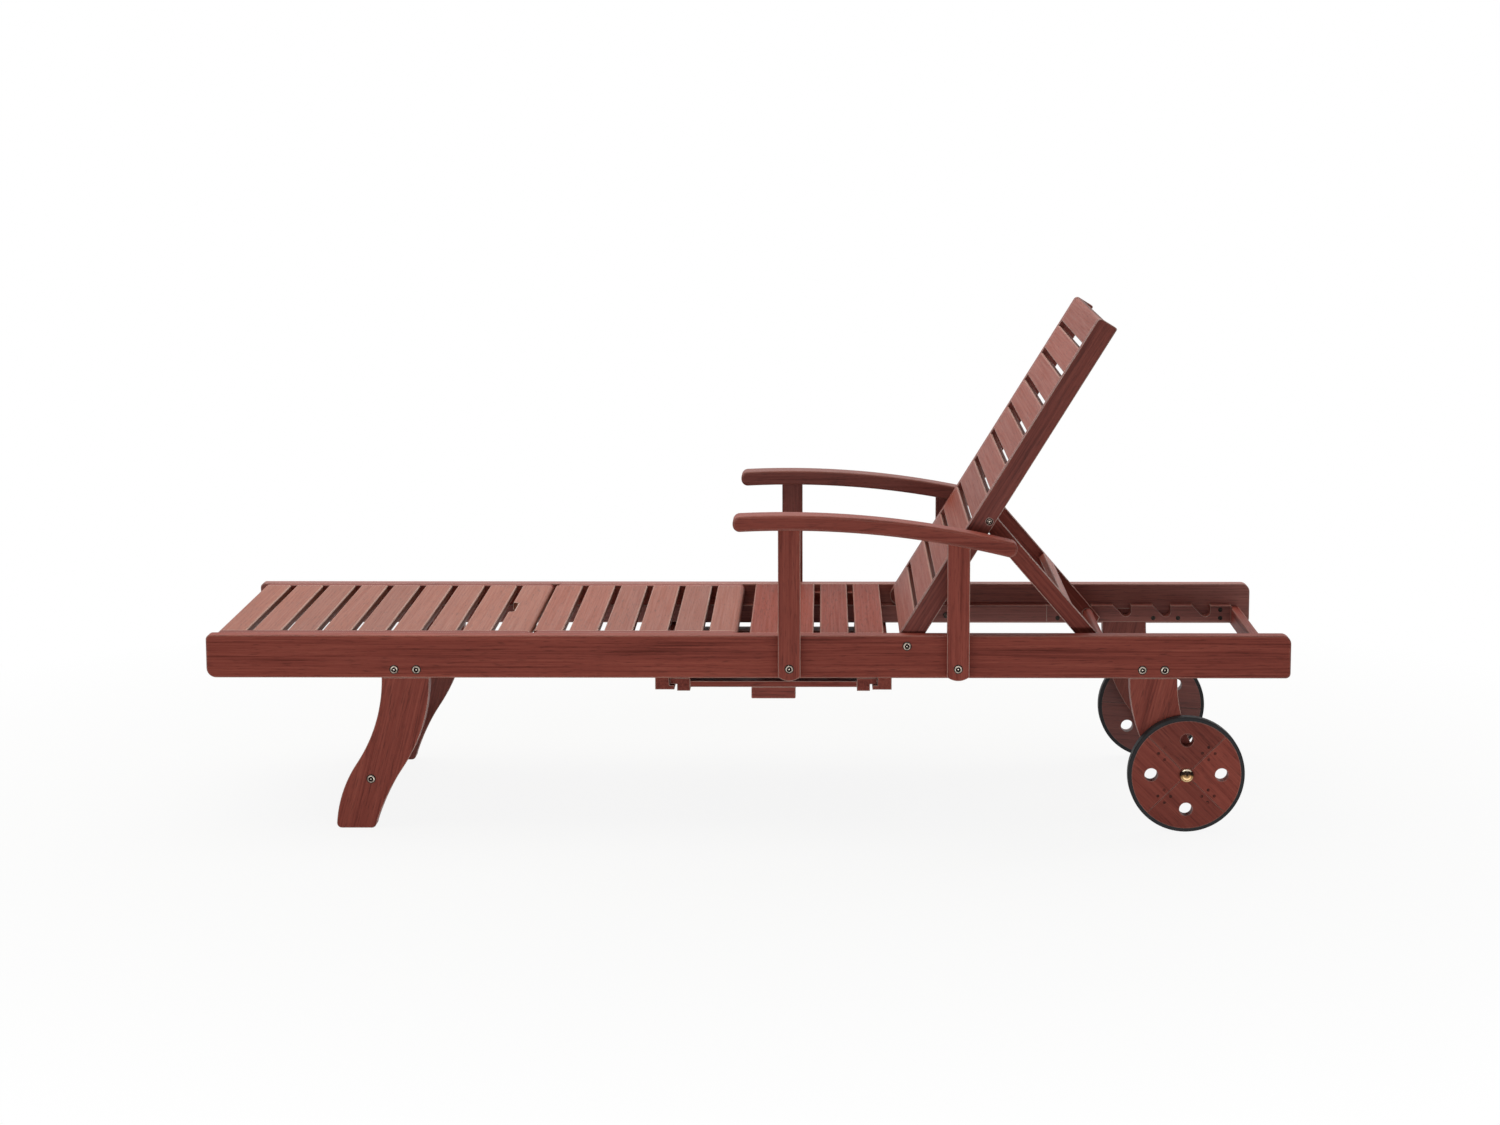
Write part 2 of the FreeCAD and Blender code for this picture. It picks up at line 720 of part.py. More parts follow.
def add_back():
    """The back: stiles that turn at their lower ends, with slats let in flush between them."""
    at = {"x": "back_pivot_x", "z": "pivot_z", "turn": "-back_angle"}
    outline = rounded("-stile_half", "-stile_half", "back_length", "stile_half",
                      "stile_half", "stile_rear_radius", "stile_front_radius", "stile_half")
    holes = [("0", "0", "pivot_hole"), ("prop_bolt_along", "-prop_bolt_back", "bolt_hole")]
    for name, side in sides:
        label = f"{name}_back_stile"
        stile = side_plate(f"{label}_plate", side, outline, "stile_inner", "stile_outer", holes, **at)
        sink = side_rod(f"{label}_sink", side, "prop_bolt_x", "prop_bolt_z", "sink_radius",
                        "stile_outer - sink_depth", "stile_outer")
        keep(label, cut(label, stile, [sink]))
    top_start = "(back_length - top_slat_width)"
    section = slat_section("back_first", "back_first + back_pitch - back_slat_gap",
                           "stile_half - slat_thick", "stile_half")
    slats = plate("back_slats", section, "-stile_inner", "stile_inner", **at)
    keep("back_slats", row_of(slats, back_slats, "back_pitch"))
    section = slat_section(top_start, "back_length", "stile_half - slat_thick", "stile_half", right="nose_radius")
    keep("back_top_slat", plate("back_top_slat", section, "-stile_inner", "stile_inner", **at))


def add_prop():
    """The frame that swings under the back and drops its bar into the racks."""
    at = {"x": "prop_bolt_x", "z": "prop_bolt_z", "turn": "prop_angle"}
    tail = "prop_length + prop_tail"
    outline = [
        ("-prop_upper", "0", "prop_upper", "left"),
        ("0", "-prop_upper"),
        ("prop_swell", "-prop_lower"),
        (f"{tail}_lower", "-prop_lower"),
        (f"{tail}_upper", "prop_upper"),
        ("0", "prop_upper", "prop_upper", "left"),
    ]
    holes = [("0", "0", "pivot_hole"), ("prop_length", "0", "prop_bar_radius")]
    for name, side in sides:
        label = f"{name}_prop_arm"
        keep(label, side_plate(label, side, outline, "prop_inner", "prop_outer", holes, **at))
    low, high = "prop_upper - prop_rail_thick", "prop_upper"
    section = rounded("prop_rail_along - prop_rail_width/2", low, "prop_rail_along + prop_rail_width/2", high,
                      *["edge_round"]*4)
    keep("prop_cross_rail", plate("prop_cross_rail", section, "-prop_inner", "prop_inner", **at))
    reach = "(ledger_face - prop_bar_clear)"
    keep("prop_bar", rod("prop_bar", "bar_x", "bar_z", "prop_bar_radius", f"-{reach}", reach))


def leg_outline(mirror, end, end_width, corner):
    """A leg curved like an S, with its lap at the top.

    The front leg leans towards the foot end (mirror 1), the rear leg towards the head end (mirror -1).
    """
    bend_x = "leg_upper_radius*(1 - cos(leg_bend))"
    bend_z = "(rail_bottom - leg_upper_radius*sin(leg_bend))"
    front_bend = f"(-leg_top_width/2 - {bend_x})"
    centre_x = f"({front_bend} + leg_lower_radius*cos(leg_bend))"
    centre_z = f"({bend_z} - leg_lower_radius*sin(leg_bend))"
    end_low = f"({end} + {corner})"
    toe_x = f"({centre_x} - sqrt(leg_lower_radius^2 - ({end_low} - {centre_z})^2))"
    heel_x = f"({toe_x} + {end_width})"
    rear_bend = "(leg_top_width/2 - leg_rear_radius*(1 - cos(leg_bend)))"
    rear_bend_z = "(rail_bottom - leg_rear_radius*sin(leg_bend))"
    lap_top = "rail_bottom + lap_height"
    path = [
        ("-leg_top_width/2", lap_top),
        ("-leg_top_width/2", "rail_bottom", "leg_upper_radius", "right"),
        (front_bend, bend_z, "leg_lower_radius", "left"),
        (toe_x, end_low, corner, "left"),
        (f"{toe_x} + {corner}", end),
        (f"{heel_x} - {corner}", end, corner, "left"),
        (heel_x, end_low, "leg_heel_radius", "right"),
        (rear_bend, rear_bend_z, "leg_rear_radius", "left"),
        ("leg_top_width/2", "rail_bottom"),
        ("leg_top_width/2", lap_top),
    ]
    if mirror > 0:
        return path
    turned = {"left": "right", "right": "left"}
    flipped = [(f"-({step[0]})", step[1]) for step in path]
    for index, step in enumerate(path):
        if len(step) == 4:
            flipped[index] += (step[2], turned[step[3]])
    return flipped


def add_legs():
    """Front legs that stand on the floor, and rear legs that carry the axle."""
    rises = {
        "front": leg_outline(1, "0", "foot_width", "foot_corner"),
        "rear": leg_outline(-1, "rear_end_height", "rear_end_width", "rear_corner"),
    }
    holes = {
        "front": ("stretcher_x - front_leg_x", "stretcher_z", "bolt_hole"),
        "rear": ("axle_x - rear_leg_x", "wheel_radius", "axle_radius"),
    }
    for end, outline in rises.items():
        for name, side in sides:
            label = f"{name}_{end}_leg"
            blank = side_plate(f"{label}_blank", side, outline, "rail_inner", "leg_outer",
                               [holes[end]], x=f"{end}_leg_x")
            tools = [side_box(f"{label}_lap", side, f"{end}_leg_x - leg_top_width", f"{end}_leg_x + leg_top_width",
                              "lap_face", "rail_outer", "rail_bottom", "rail_bottom + 2*lap_height")]
            for way in (-1, 1):
                tools.append(side_rod(f"{label}_bolt_hole_{way + 1}", side, f"{end}_bolt_x + {way}*leg_bolt_spacing/2",
                                      "leg_bolt_z", "bolt_hole", "lap_face - leg_bolt_grip", "lap_face"))
            keep(label, cut(label, blank, tools))


def add_stretcher():
    """The rail between the front legs, bored at both ends for its bolts."""
    reach = "rail_inner"
    x0, x1 = "stretcher_x - stretcher_thick/2", "stretcher_x + stretcher_thick/2"
    z0, z1 = "stretcher_z - stretcher_height/2", "stretcher_z + stretcher_height/2"
    blank = plate("stretcher_blank", rounded(x0, z0, x1, z1, *["edge_round"]*4), f"-{reach}", reach)
    bores = [
        side_rod(f"{name}_stretcher_bore", side, "stretcher_x", "stretcher_z", "bolt_hole",
                 f"{reach} - stretcher_grip", reach)
        for name, side in sides
    ]
    keep("leg_stretcher", cut("leg_stretcher", blank, bores))


def add_wheels():
    """Wheels of four mitred boards with a tyre, on one axle with a cap at each end."""
    axle_end = "(wheel_outer + cap_gap + cap_bore)"
    keep("wheel_axle", rod("wheel_axle", "axle_x", "wheel_radius", "axle_radius", f"-{axle_end}", axle_end))
    rim = "(wheel_radius - tyre_thick)"
    bore = "(axle_radius + pivot_clear)"
    gap = "wheel_joint/2"
    at_rim, at_bore = (f"sqrt({radius}^2 - ({gap})^2)" for radius in (rim, bore))
    board = [
        (at_bore, gap),
        (at_rim, gap, rim, "left"),
        (gap, at_rim),
        (gap, at_bore, bore, "right"),
    ]
    spot = "wheel_hole_circle*sqrt(0.5)"
    caps = []
    for name, side in sides:
        label = f"{name}_wheel_boards"
        boards = side_plate(label, side, board, "wheel_inner", "wheel_outer", [(spot, spot, "wheel_hole_radius")],
                            x="axle_x", z="wheel_radius", turn=f"{name}_wheel_turn")
        pattern = boards.newObject("PartDesign::PolarPattern", f"{label}_round")
        pattern.Originals = [boards.Tip]
        pattern.Axis = (origin_feature(boards, "Y_Axis"), [""])
        pattern.Occurrences = wheel_boards
        boards.Tip = pattern
        keep(label, boards)
        label = f"{name}_wheel_tyre"
        ring = doc.addObject("PartDesign::Body", label)
        sketch = sketch_on(ring, "XZ_Plane", f"{label}_outline")
        draw(sketch, [], [("0", "0", "wheel_radius"), ("0", "0", rim)])
        pad = ring.newObject("PartDesign::Pad", f"{label}_pad")
        pad.Profile = sketch
        bind(pad, Length="wheel_thick")
        place(ring, "axle_x", y_high(side, "wheel_inner", "wheel_outer"), "wheel_radius")
        keep(label, round_edges(ring, "tyre_round", rims))
        caps.append(add_hub_cap(f"{name}_hub_cap", side))
    group("hub_caps", caps)


def add_hub_cap(name, side):
    """A domed cap pressed on an end of the axle."""
    cap = doc.addObject("PartDesign::Body", name)
    sketch = sketch_on(cap, "XY_Plane", f"{name}_outline")
    dome = "(cap_height - cap_rim)"
    draw(sketch, [
        ("0", "cap_bore"),
        ("axle_radius", "cap_bore"),
        ("axle_radius", "0"),
        ("cap_radius", "0"),
        ("cap_radius", "cap_rim", f"(cap_radius^2 + {dome}^2)/(2*{dome})", "left"),
        ("0", "cap_height"),
    ])
    turned = cap.newObject("PartDesign::Revolution", f"{name}_turned")
    turned.Profile = sketch
    turned.ReferenceAxis = (sketch, ["V_Axis"])
    turned.Angle = 360
    if side < 0:
        cap.Placement = FreeCAD.Placement(Vector(), FreeCAD.Rotation(Vector(0, 0, 1), 180))
    face = "(wheel_outer + cap_gap)"
    for axis, formula in zip("xyz", ("axle_x", f"{side}*{face}", "wheel_radius")):
        cap.setExpression(f"Placement.Base.{axis}", tied(formula))
    return cap


def arm_under(x):
    """The height of the armrest's curved underside."""
    return f"(arm_apex_z - arm_radius + sqrt(arm_radius^2 - ({x} - arm_apex_x)^2))"


def add_posts():
    """Posts outside the rails, cut at the top to the armrests' curve."""
    for end in ("front", "rear"):
        left, right = f"({end}_post_x - post_width/2)", f"({end}_post_x + post_width/2)"
        sag = "(post_toe_radius - sqrt(post_toe_radius^2 - (post_width/2)^2))"
        toe = f"(rail_bottom - post_toe_drop + {sag})"
        outline = [
            (left, toe, "post_toe_radius", "left"),
            (right, toe),
            (right, arm_under(right), "arm_radius", "left"),
            (left, arm_under(left)),
        ]
        for name, side in sides:
            label = f"{name}_{end}_post"
            hole = (f"{end}_post_x", "post_bolt_z", "bolt_hole")
            keep(label, side_plate(label, side, outline, "rail_outer", "post_outer", [hole]))


def add_armrests():
    """Armrests that arch in side view, taper to the rear and have rounded ends."""
    crown = "(arm_radius + arm_thick)"
    centre_z = "(arm_apex_z - arm_radius)"
    ends = {}
    for end in ("front", "rear"):
        across = f"(arm_{end} - arm_apex_x)"
        ends[end] = (f"(arm_apex_x + {across}*{crown}/arm_radius)",
                     f"({centre_z} + sqrt(arm_radius^2 - {across}^2)*{crown}/arm_radius)")
    outline = [
        ("arm_front", arm_under("arm_front"), "arm_radius", "right"),
        ("arm_rear", arm_under("arm_rear")),
        (*ends["rear"], crown, "left"),
        ends["front"],
    ]
    for name, side in sides:
        label = f"{name}_armrest"
        arm = plate(label, outline, f"{side}*arm_y - arm_front_width/2", f"{side}*arm_y + arm_front_width/2")
        front, rear = ends["front"][0], ends["rear"][0]
        for way in (-1, 1):
            wedge = sketch_on(arm, "XY_Plane", f"{label}_wedge_{way + 1}")
            middle = "(-arm_front_width/2)"
            wide, slim, past = (f"{middle} + {way}*{width}/2"
                                for width in ("arm_front_width", "arm_rear_width", "(2*arm_front_width)"))
            draw(wedge, [(front, wide), (f"{rear} + arm_thick", slim), (f"{rear} + arm_thick", past), (front, past)])
            pocket = arm.newObject("PartDesign::Pocket", f"{label}_taper_{way + 1}")
            pocket.Profile = wedge
            pocket.Type = "ThroughAll"
            pocket.Reversed = True
        round_edges(arm, "arm_end_radius", across_edges)
        keep(label, round_edges(arm, "arm_edge_round", crowns))


def crowns(shape):
    """The longest edge of each of a plate's two flat sides."""
    flat = [face for face in shape.Faces if abs(face.normalAt(0, 0).y) > 0.9]
    return [max(face.OuterWire.Edges, key=lambda edge: edge.Length) for face in flat]


def across_edges(shape):
    """The straight edges that run along Y."""
    return [
        edge for edge in shape.Edges
        if isinstance(edge.Curve, Part.Line) and abs(edge.Curve.Direction.y) > 0.99
    ]


def add_tray():
    """The side tray, whose battens hook over the lips of two runners under the rails."""
    half_span = "(tray_span/2)"
    lip_top = "(rail_bottom - runner_height + runner_lip_thick)"
    low = "(rail_bottom - runner_height)"
    wall = f"({half_span} - runner_width)"
    tongue_out = f"({wall} - tongue_side_clear)"
    batten_out = f"({tongue_out} - tongue_length)"
    batten_in = f"({batten_out} - batten_width)"
    tongue_low = f"({lip_top} + tongue_clear)"
    tongue_top = f"({tongue_low} + tongue_thick)"
    batten_low = f"({tongue_top} - batten_height)"
    runner = [
        (half_span, low),
        (half_span, "rail_bottom"),
        (wall, "rail_bottom"),
        (wall, lip_top),
        (f"{wall} - runner_lip", lip_top),
        (f"{wall} - runner_lip", low),
    ]
    batten = [
        (tongue_out, tongue_low),
        (tongue_out, tongue_top),
        (batten_in, tongue_top),
        (batten_in, batten_low),
        (batten_out, batten_low),
        (batten_out, tongue_low),
    ]
    runners = []
    battens = []
    for name, way in (("foot", -1), ("head", 1)):
        for kind, section, length, pieces in (
            ("runner", runner, "runner_length", runners), ("batten", batten, "tray_depth", battens)
        ):
            path = [(f"tray_x + {way}*({across})", up) for across, up in section]
            pieces.append(plate(f"{name}_tray_{kind}", path, f"-{length}/2", f"{length}/2"))
    group("tray_runners", runners)
    group("tray_battens", battens)
    top = "(rail_bottom - tray_slat_drop)"
    under = f"({top} - tray_slat_thick)"
    x0, x1 = f"tray_x - {batten_in}", f"tray_x + {batten_in}"
    step = f"(tray_depth - tray_slat_width)/{tray_slats - 1}"
    slats = [
        box(f"tray_slat_{index}", x0, x1, f"-tray_depth/2 + {index}*{step}",
            f"-tray_depth/2 + {index}*{step} + tray_slat_width", under, top)
        for index in range(tray_slats)
    ]
    group("tray_slats", slats)
    pull = rounded("tray_x - pull_width/2", f"{under} - pull_height", "tray_x + pull_width/2", under,
                   "edge_round", "edge_round", "edge_round", "edge_round")
    front = "-tray_depth/2"
    keep("tray_pull", plate("tray_pull", pull, front, f"{front} + pull_thick"))


def bolt(name, side, x, z, inside, outside, head="bolt_head", nut=False):
    """A bolt from one distance from the middle to another, with its head outside."""
    solids = [
        side_rod(f"{name}_shank", side, x, z, "bolt_radius", inside, outside),
        side_rod(f"{name}_head", side, x, z, f"{head}_radius", outside, f"{outside} + {head}_height"),
    ]
    if nut:
        solids.append(side_rod(f"{name}_nut", side, x, z, "nut_radius", f"{inside} - nut_height", inside))
    return fused(name, solids)


def add_bolts():
    """Bolts, nuts and screws."""
    fixed = []
    pivots = []
    prop_pivots = []
    thigh_screws = []
    rack_screws = []
    for name, side in sides:
        for end in ("front", "rear"):
            for way in (-1, 1):
                fixed.append(bolt(f"{name}_{end}_leg_bolt_{way + 1}", side,
                                  f"{end}_bolt_x + {way}*leg_bolt_spacing/2", "leg_bolt_z",
                                  "lap_face - leg_bolt_grip", "rail_outer"))
            fixed.append(bolt(f"{name}_{end}_post_bolt", side, f"{end}_post_x", "post_bolt_z",
                              "ledger_face", "post_outer", nut=True))
        fixed.append(bolt(f"{name}_stretcher_bolt", side, "stretcher_x", "stretcher_z",
                          "rail_inner - stretcher_grip", "leg_outer"))
        pivots.append(bolt(f"{name}_back_pivot", side, "back_pivot_x", "pivot_z",
                           "stile_inner - nut_gap", "rail_outer", nut=True))
        prop_pivots.append(bolt(f"{name}_prop_pivot", side, "prop_bolt_x", "prop_bolt_z",
                                "prop_inner - nut_gap", "stile_outer - sink_depth",
                                head="sunk_head", nut=True))
        shank = side_rod(f"{name}_thigh_shank", side, "thigh_pivot_x", "pivot_z", "bolt_radius",
                         "stile_inner - nut_gap", "rail_inner + pivot_grip")
        head = side_rod(f"{name}_thigh_head", side, "thigh_pivot_x", "pivot_z", "pivot_head_radius",
                        "stile_inner - nut_gap - pivot_head_height", "stile_inner - nut_gap")
        thigh_screws.append(fused(f"{name}_thigh_screw", [shank, head]))
        for index, (x, z) in enumerate(rack_screw_places()):
            shank = side_rod(f"{name}_rack_shank_{index}", side, x, z, "screw_radius",
                             "ledger_face", "rail_inner + screw_grip")
            head = side_rod(f"{name}_rack_head_{index}", side, x, z, "screw_head_radius",
                            "ledger_face - screw_head_height", "ledger_face")
            rack_screws.append(fused(f"{name}_rack_screw_{index}", [shank, head]))
    group("frame_bolts", fixed)
    group("back_pivot_bolts", pivots)
    group("prop_pivot_bolts", prop_pivots)
    group("thigh_pivot_screws", thigh_screws)
    group("rack_screws", rack_screws)


add_side_rails()
add_ledgers()
add_racks()
add_cross_rails()
add_seat()
add_leg_leaf()
add_thigh_leaf()
add_knee_hinges()
add_back()
add_prop()
add_legs()
add_stretcher()
add_wheels()
add_posts()
add_armrests()
add_tray()
add_bolts()
doc.recompute()

for item in doc.Objects:
    if "Invalid" in item.State or "Error" in item.State:
        raise RuntimeError(f"{item.Label} failed: {item.State}")
os.makedirs("parts", exist_ok=True)
for item in subparts:
    shape = item.Shape
    if shape.isNull() or not shape.isValid() or not shape.Solids:
        raise RuntimeError(f"{item.Label} has no valid solid")
for item in subparts:
    item.Shape.exportStep(f"parts/{item.Label}.step")
    print(f"{item.Label}: {len(item.Shape.Solids)} solids, {item.Shape.Volume/1000:.1f} cm3")
print(f"{len(subparts)} pieces")
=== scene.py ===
import bpy
import bmesh
import math
from mathutils import Matrix, Vector


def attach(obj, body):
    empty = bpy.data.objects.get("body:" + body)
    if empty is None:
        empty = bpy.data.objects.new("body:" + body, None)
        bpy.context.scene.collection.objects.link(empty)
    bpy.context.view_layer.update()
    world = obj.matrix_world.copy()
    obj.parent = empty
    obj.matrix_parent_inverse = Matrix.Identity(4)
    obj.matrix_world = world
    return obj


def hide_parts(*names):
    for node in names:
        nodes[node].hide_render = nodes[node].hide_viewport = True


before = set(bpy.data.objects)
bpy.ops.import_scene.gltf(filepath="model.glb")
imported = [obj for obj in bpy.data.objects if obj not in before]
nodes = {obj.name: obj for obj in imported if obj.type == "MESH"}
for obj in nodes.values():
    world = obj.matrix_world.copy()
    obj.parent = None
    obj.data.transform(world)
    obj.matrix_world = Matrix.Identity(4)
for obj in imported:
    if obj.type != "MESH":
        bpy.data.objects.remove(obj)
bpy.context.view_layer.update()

mm = 0.001
sides = {"near": -1, "far": 1}
outside, whole = -5, 10        # metres: a board from outside on, whole long, isn't divided along that axis
plain = (1, 1, 1)              # a tint that changes nothing


def linear(hexColour, tone=1.0, tint=plain):
    # sRGB hex to the linear colour that Blender's sockets take, darker by tone and warmer or cooler by tint
    shares = [int(hexColour[i:i + 2], 16) / 255 for i in (1, 3, 5)]
    lit = [s / 12.92 if s <= 0.04045 else ((s + 0.055) / 1.055) ** 2.4 for s in shares]
    return (*[tone * t * s for t, s in zip(tint, lit)], 1.0)


def addNode(tree, kind, sockets=None, stops=(), **settings):
    # a node with its settings; a socket given as a value is linked, anything else is set on it
    # stops: a colour ramp's places and linear colours
    made = tree.nodes.new(kind)
    for name, value in settings.items():
        setattr(made, name, value)
    for count, (place, colour) in enumerate(stops):
        band = made.color_ramp.elements
        element = band[count] if count < len(band) else band.new(place)
        element.position = place
        element.color = colour
    for name, value in (sockets or {}).items():
        if isinstance(value, bpy.types.NodeSocket):
            tree.links.new(value, made.inputs[name])
        else:
            made.inputs[name].default_value = value
    return made


def newMaterial(name):
    made = bpy.data.materials.new(name)
    made.use_nodes = True
    made.node_tree.nodes.clear()
    return made, made.node_tree


def dress(material, *names):
    for name in names:
        slots = nodes[name].data.materials
        slots.clear()
        slots.append(material)


# Oiled red hardwood: planed boards with a red-brown stain and a wiped oil finish. It gives the eye
# long dark and light streaks along each board, boards that differ a little and a satin sheen; the paler
# edges are a painted highlight, and faces that look into gaps can get painted shade.
hardwood = {
    "dark": "#5C251D",
    "middle": "#883F35",
    "light": "#96493D",
    "pale": "#A75748",
    # the pale colour of the painted highlight along the edges
    "edge": "#FFE9DC",
    "stains": (("dark", 0.31), ("pale", 0.71), ("middle", 0.45), ("light", 0.57)),     # places on the mixed noise
    "stainCentre": 0.51,
    # each layer's width across the grain, length along it, and detail
    "layers": {
        "figure": (20 * mm, 620 * mm, 2.0),
        "streak": (3.2 * mm, 240 * mm, 4.0),     # really 1 to 2 mm wide: drawn coarser, to show in the render
        "pore": (2 * mm, 30 * mm, 2.0),          # really about 0.2 mm wide: drawn coarser for the same reason
    },
    "layerRoughness": 0.6,
    "layerDistortion": 0.25,
    "streakShare": 0.6,                # of streak in the mix with figure
    "poreRange": (0.54, 0.70),
    "poreShade": (1.02, 0.6),
    "gapFacing": (0.75, 0.98),         # how squarely a face looks into a gap before it gets the painted gap shade
    "edgeWidth": 2.4 * mm,
    "edgeTurn": (0.997, 0.94),         # how far the rounder normal leaves the real one where the edge highlight is painted
    "boardSpread": (0.86, 1.12),
    "boardShift": 3.0,
    "streakRange": (0.3, 0.7),
    "roughness": (0.44, 0.58),
    "bump": 0.18,
    "bumpDepth": 0.4 * mm,
}


def oiledHardwood(name, grain="x", tilt=0.0, start=(outside,) * 3, board=(whole,) * 3, tone=1.0, tint=plain,
                  calm=1.0, edgeHighlight=0.45, sheen=0.12, spread=hardwood["boardSpread"], gapward=None, paintedGapShade=1.0):
    # grain: the axis that the boards run along, after a turn of tilt degrees about Y
    # board: how far apart boards lie along each axis, counted from start, both in metres
    # calm: above 1, the streaks stand out less; the edge share: how far the edges are painted pale, as a highlight
    # sheen: how much of the white room the oil film mirrors; spread: how far boards differ in tone
    # gapward: where given, faces that look this way or back are darker by the last argument: painted shade, for the
    # shade that falls into the gaps between slats
    made, tree = newMaterial(name)
    wood = hardwood
    place = addNode(tree, "ShaderNodeTexCoord").outputs["Object"]
    turned = addNode(tree, "ShaderNodeMapping", {
        "Vector": place,
        "Rotation": (0, math.radians(tilt), 0),
    }).outputs["Vector"]
    counted = addNode(tree, "ShaderNodeMapping", {
        "Vector": turned,
        "Location": [-s / b for s, b in zip(start, board)],
        "Scale": [1 / b for b in board],
    }).outputs["Vector"]
    index = addNode(tree, "ShaderNodeVectorMath", {0: counted}, operation="FLOOR").outputs["Vector"]
    chance = addNode(tree, "ShaderNodeTexWhiteNoise", {"Vector": index}, noise_dimensions="3D")
    shifted = addNode(tree, "ShaderNodeVectorMath", {
        0: chance.outputs["Color"],
        1: (wood["boardShift"],) * 3,
        2: turned,
    }, operation="MULTIPLY_ADD").outputs["Vector"]
    layers = {}
    for layer, (across, along, detail) in wood["layers"].items():
        scale = [1 / along if axis == grain else 1 / across for axis in "xyz"]
        stretched = addNode(tree, "ShaderNodeMapping", {"Vector": shifted, "Scale": scale})
        noise = addNode(tree, "ShaderNodeTexNoise", {
            "Vector": stretched.outputs["Vector"],
            "Scale": 1.0,
            "Detail": detail,
            "Roughness": wood["layerRoughness"],
            "Distortion": wood["layerDistortion"],
        })
        layers[layer] = noise.outputs["Fac"]
    mixed = addNode(tree, "ShaderNodeMix", {
        "Factor": wood["streakShare"],
        "A": layers["figure"],
        "B": layers["streak"],
    }, data_type="FLOAT").outputs["Result"]
    centre = wood["stainCentre"]
    stains = [
        (centre + calm * (share - centre), linear(wood[stain], tone, tint))
        for stain, share in wood["stains"]
    ]
    ramp = addNode(tree, "ShaderNodeValToRGB", {"Fac": mixed}, stops=stains)
    poreFrom, poreTo = wood["poreRange"]
    besidePore, inPore = wood["poreShade"]
    pores = addNode(tree, "ShaderNodeMapRange", {
        "Value": layers["pore"],
        "From Min": poreFrom,
        "From Max": poreTo,
        "To Min": besidePore,
        "To Max": inPore,
    }).outputs["Result"]
    darkest, lightest = spread
    shade = addNode(tree, "ShaderNodeMapRange", {
        "Value": chance.outputs["Value"],
        "To Min": darkest,
        "To Max": lightest,
    }).outputs["Result"]
    shaded = addNode(tree, "ShaderNodeMath", {0: pores, 1: shade}, operation="MULTIPLY").outputs["Value"]
    flat = addNode(tree, "ShaderNodeNewGeometry").outputs["Normal"]
    # painted shade: faces that look into the gaps between slats are darkened
    if gapward:
        facing = addNode(tree, "ShaderNodeVectorMath", {0: flat, 1: gapward}, operation="DOT_PRODUCT").outputs["Value"]
        eitherWay = addNode(tree, "ShaderNodeMath", {0: facing}, operation="ABSOLUTE").outputs["Value"]
        facingFrom, facingTo = wood["gapFacing"]
        gapShading = addNode(tree, "ShaderNodeMapRange", {
            "Value": eitherWay,
            "From Min": facingFrom,
            "From Max": facingTo,
            "To Min": 1.0,
            "To Max": paintedGapShade,
        }).outputs["Result"]
        shaded = addNode(tree, "ShaderNodeMath", {0: shaded, 1: gapShading}, operation="MULTIPLY").outputs["Value"]
    toned = addNode(tree, "ShaderNodeVectorMath", {
        0: ramp.outputs["Color"],
        "Scale": shaded,
    }, operation="SCALE").outputs["Vector"]
    # painted highlight on the edges: where the normal of a slightly rounder surface leaves the real one
    rounder = addNode(tree, "ShaderNodeBevel", {"Radius": wood["edgeWidth"]}, samples=4).outputs["Normal"]
    alike = addNode(tree, "ShaderNodeVectorMath", {0: rounder, 1: flat}, operation="DOT_PRODUCT").outputs["Value"]
    edgeFrom, edgeTo = wood["edgeTurn"]
    edgeHighlightMask = addNode(tree, "ShaderNodeMapRange", {
        "Value": alike,
        "From Min": edgeFrom,
        "From Max": edgeTo,
        "To Max": edgeHighlight,
    }).outputs["Result"]
    colour = addNode(tree, "ShaderNodeMix", {
        0: edgeHighlightMask,
        6: toned,
        7: linear(wood["edge"], tone),
    }, data_type="RGBA").outputs[2]
    streakFrom, streakTo = wood["streakRange"]
    smooth, rough = wood["roughness"]
    roughness = addNode(tree, "ShaderNodeMapRange", {
        "Value": layers["streak"],
        "From Min": streakFrom,
        "From Max": streakTo,
        "To Min": rough,
        "To Max": smooth,
    }).outputs["Result"]
    bump = addNode(tree, "ShaderNodeBump", {
        "Height": layers["streak"],
        "Strength": wood["bump"],
        "Distance": wood["bumpDepth"],
    }).outputs["Normal"]
    shader = addNode(tree, "ShaderNodeBsdfPrincipled", {
        "Base Color": colour,
        "Roughness": roughness,
        "Specular IOR Level": sheen,
        "Normal": bump,
    })
    addNode(tree, "ShaderNodeOutputMaterial", {"Surface": shader.outputs["BSDF"]})
    return made


# Boards that run the length of the lounger: rails, ledgers and racks. The far ones are tinted duller,
# and the far ledger and rack toned darker: painted shade.
railBoards = {
    "NearRails": {
        "nodes": ("near_side_rail", "near_ledger", "near_rack"),
        "look": {"tone": 1.0, "sheen": 0.10},
    },
    "FarRail": {
        "nodes": ("far_side_rail",),
        "look": {"tone": 1.0, "sheen": 0.45, "tint": (1.06, 1.35, 1.4)},
    },
    "FarLedger": {
        "nodes": ("far_ledger", "far_rack"),
        "look": {"tone": 0.72, "sheen": 0.40, "tint": (1.0, 1.2, 1.25)},
    },
}
for row, boards in railBoards.items():
    material = oiledHardwood(
        f"oiledHardwood{row}", grain="x", start=(outside, 0, outside), board=(whole, 20 * mm, whole),
        calm=0.95, **boards["look"])
    dress(material, *boards["nodes"])

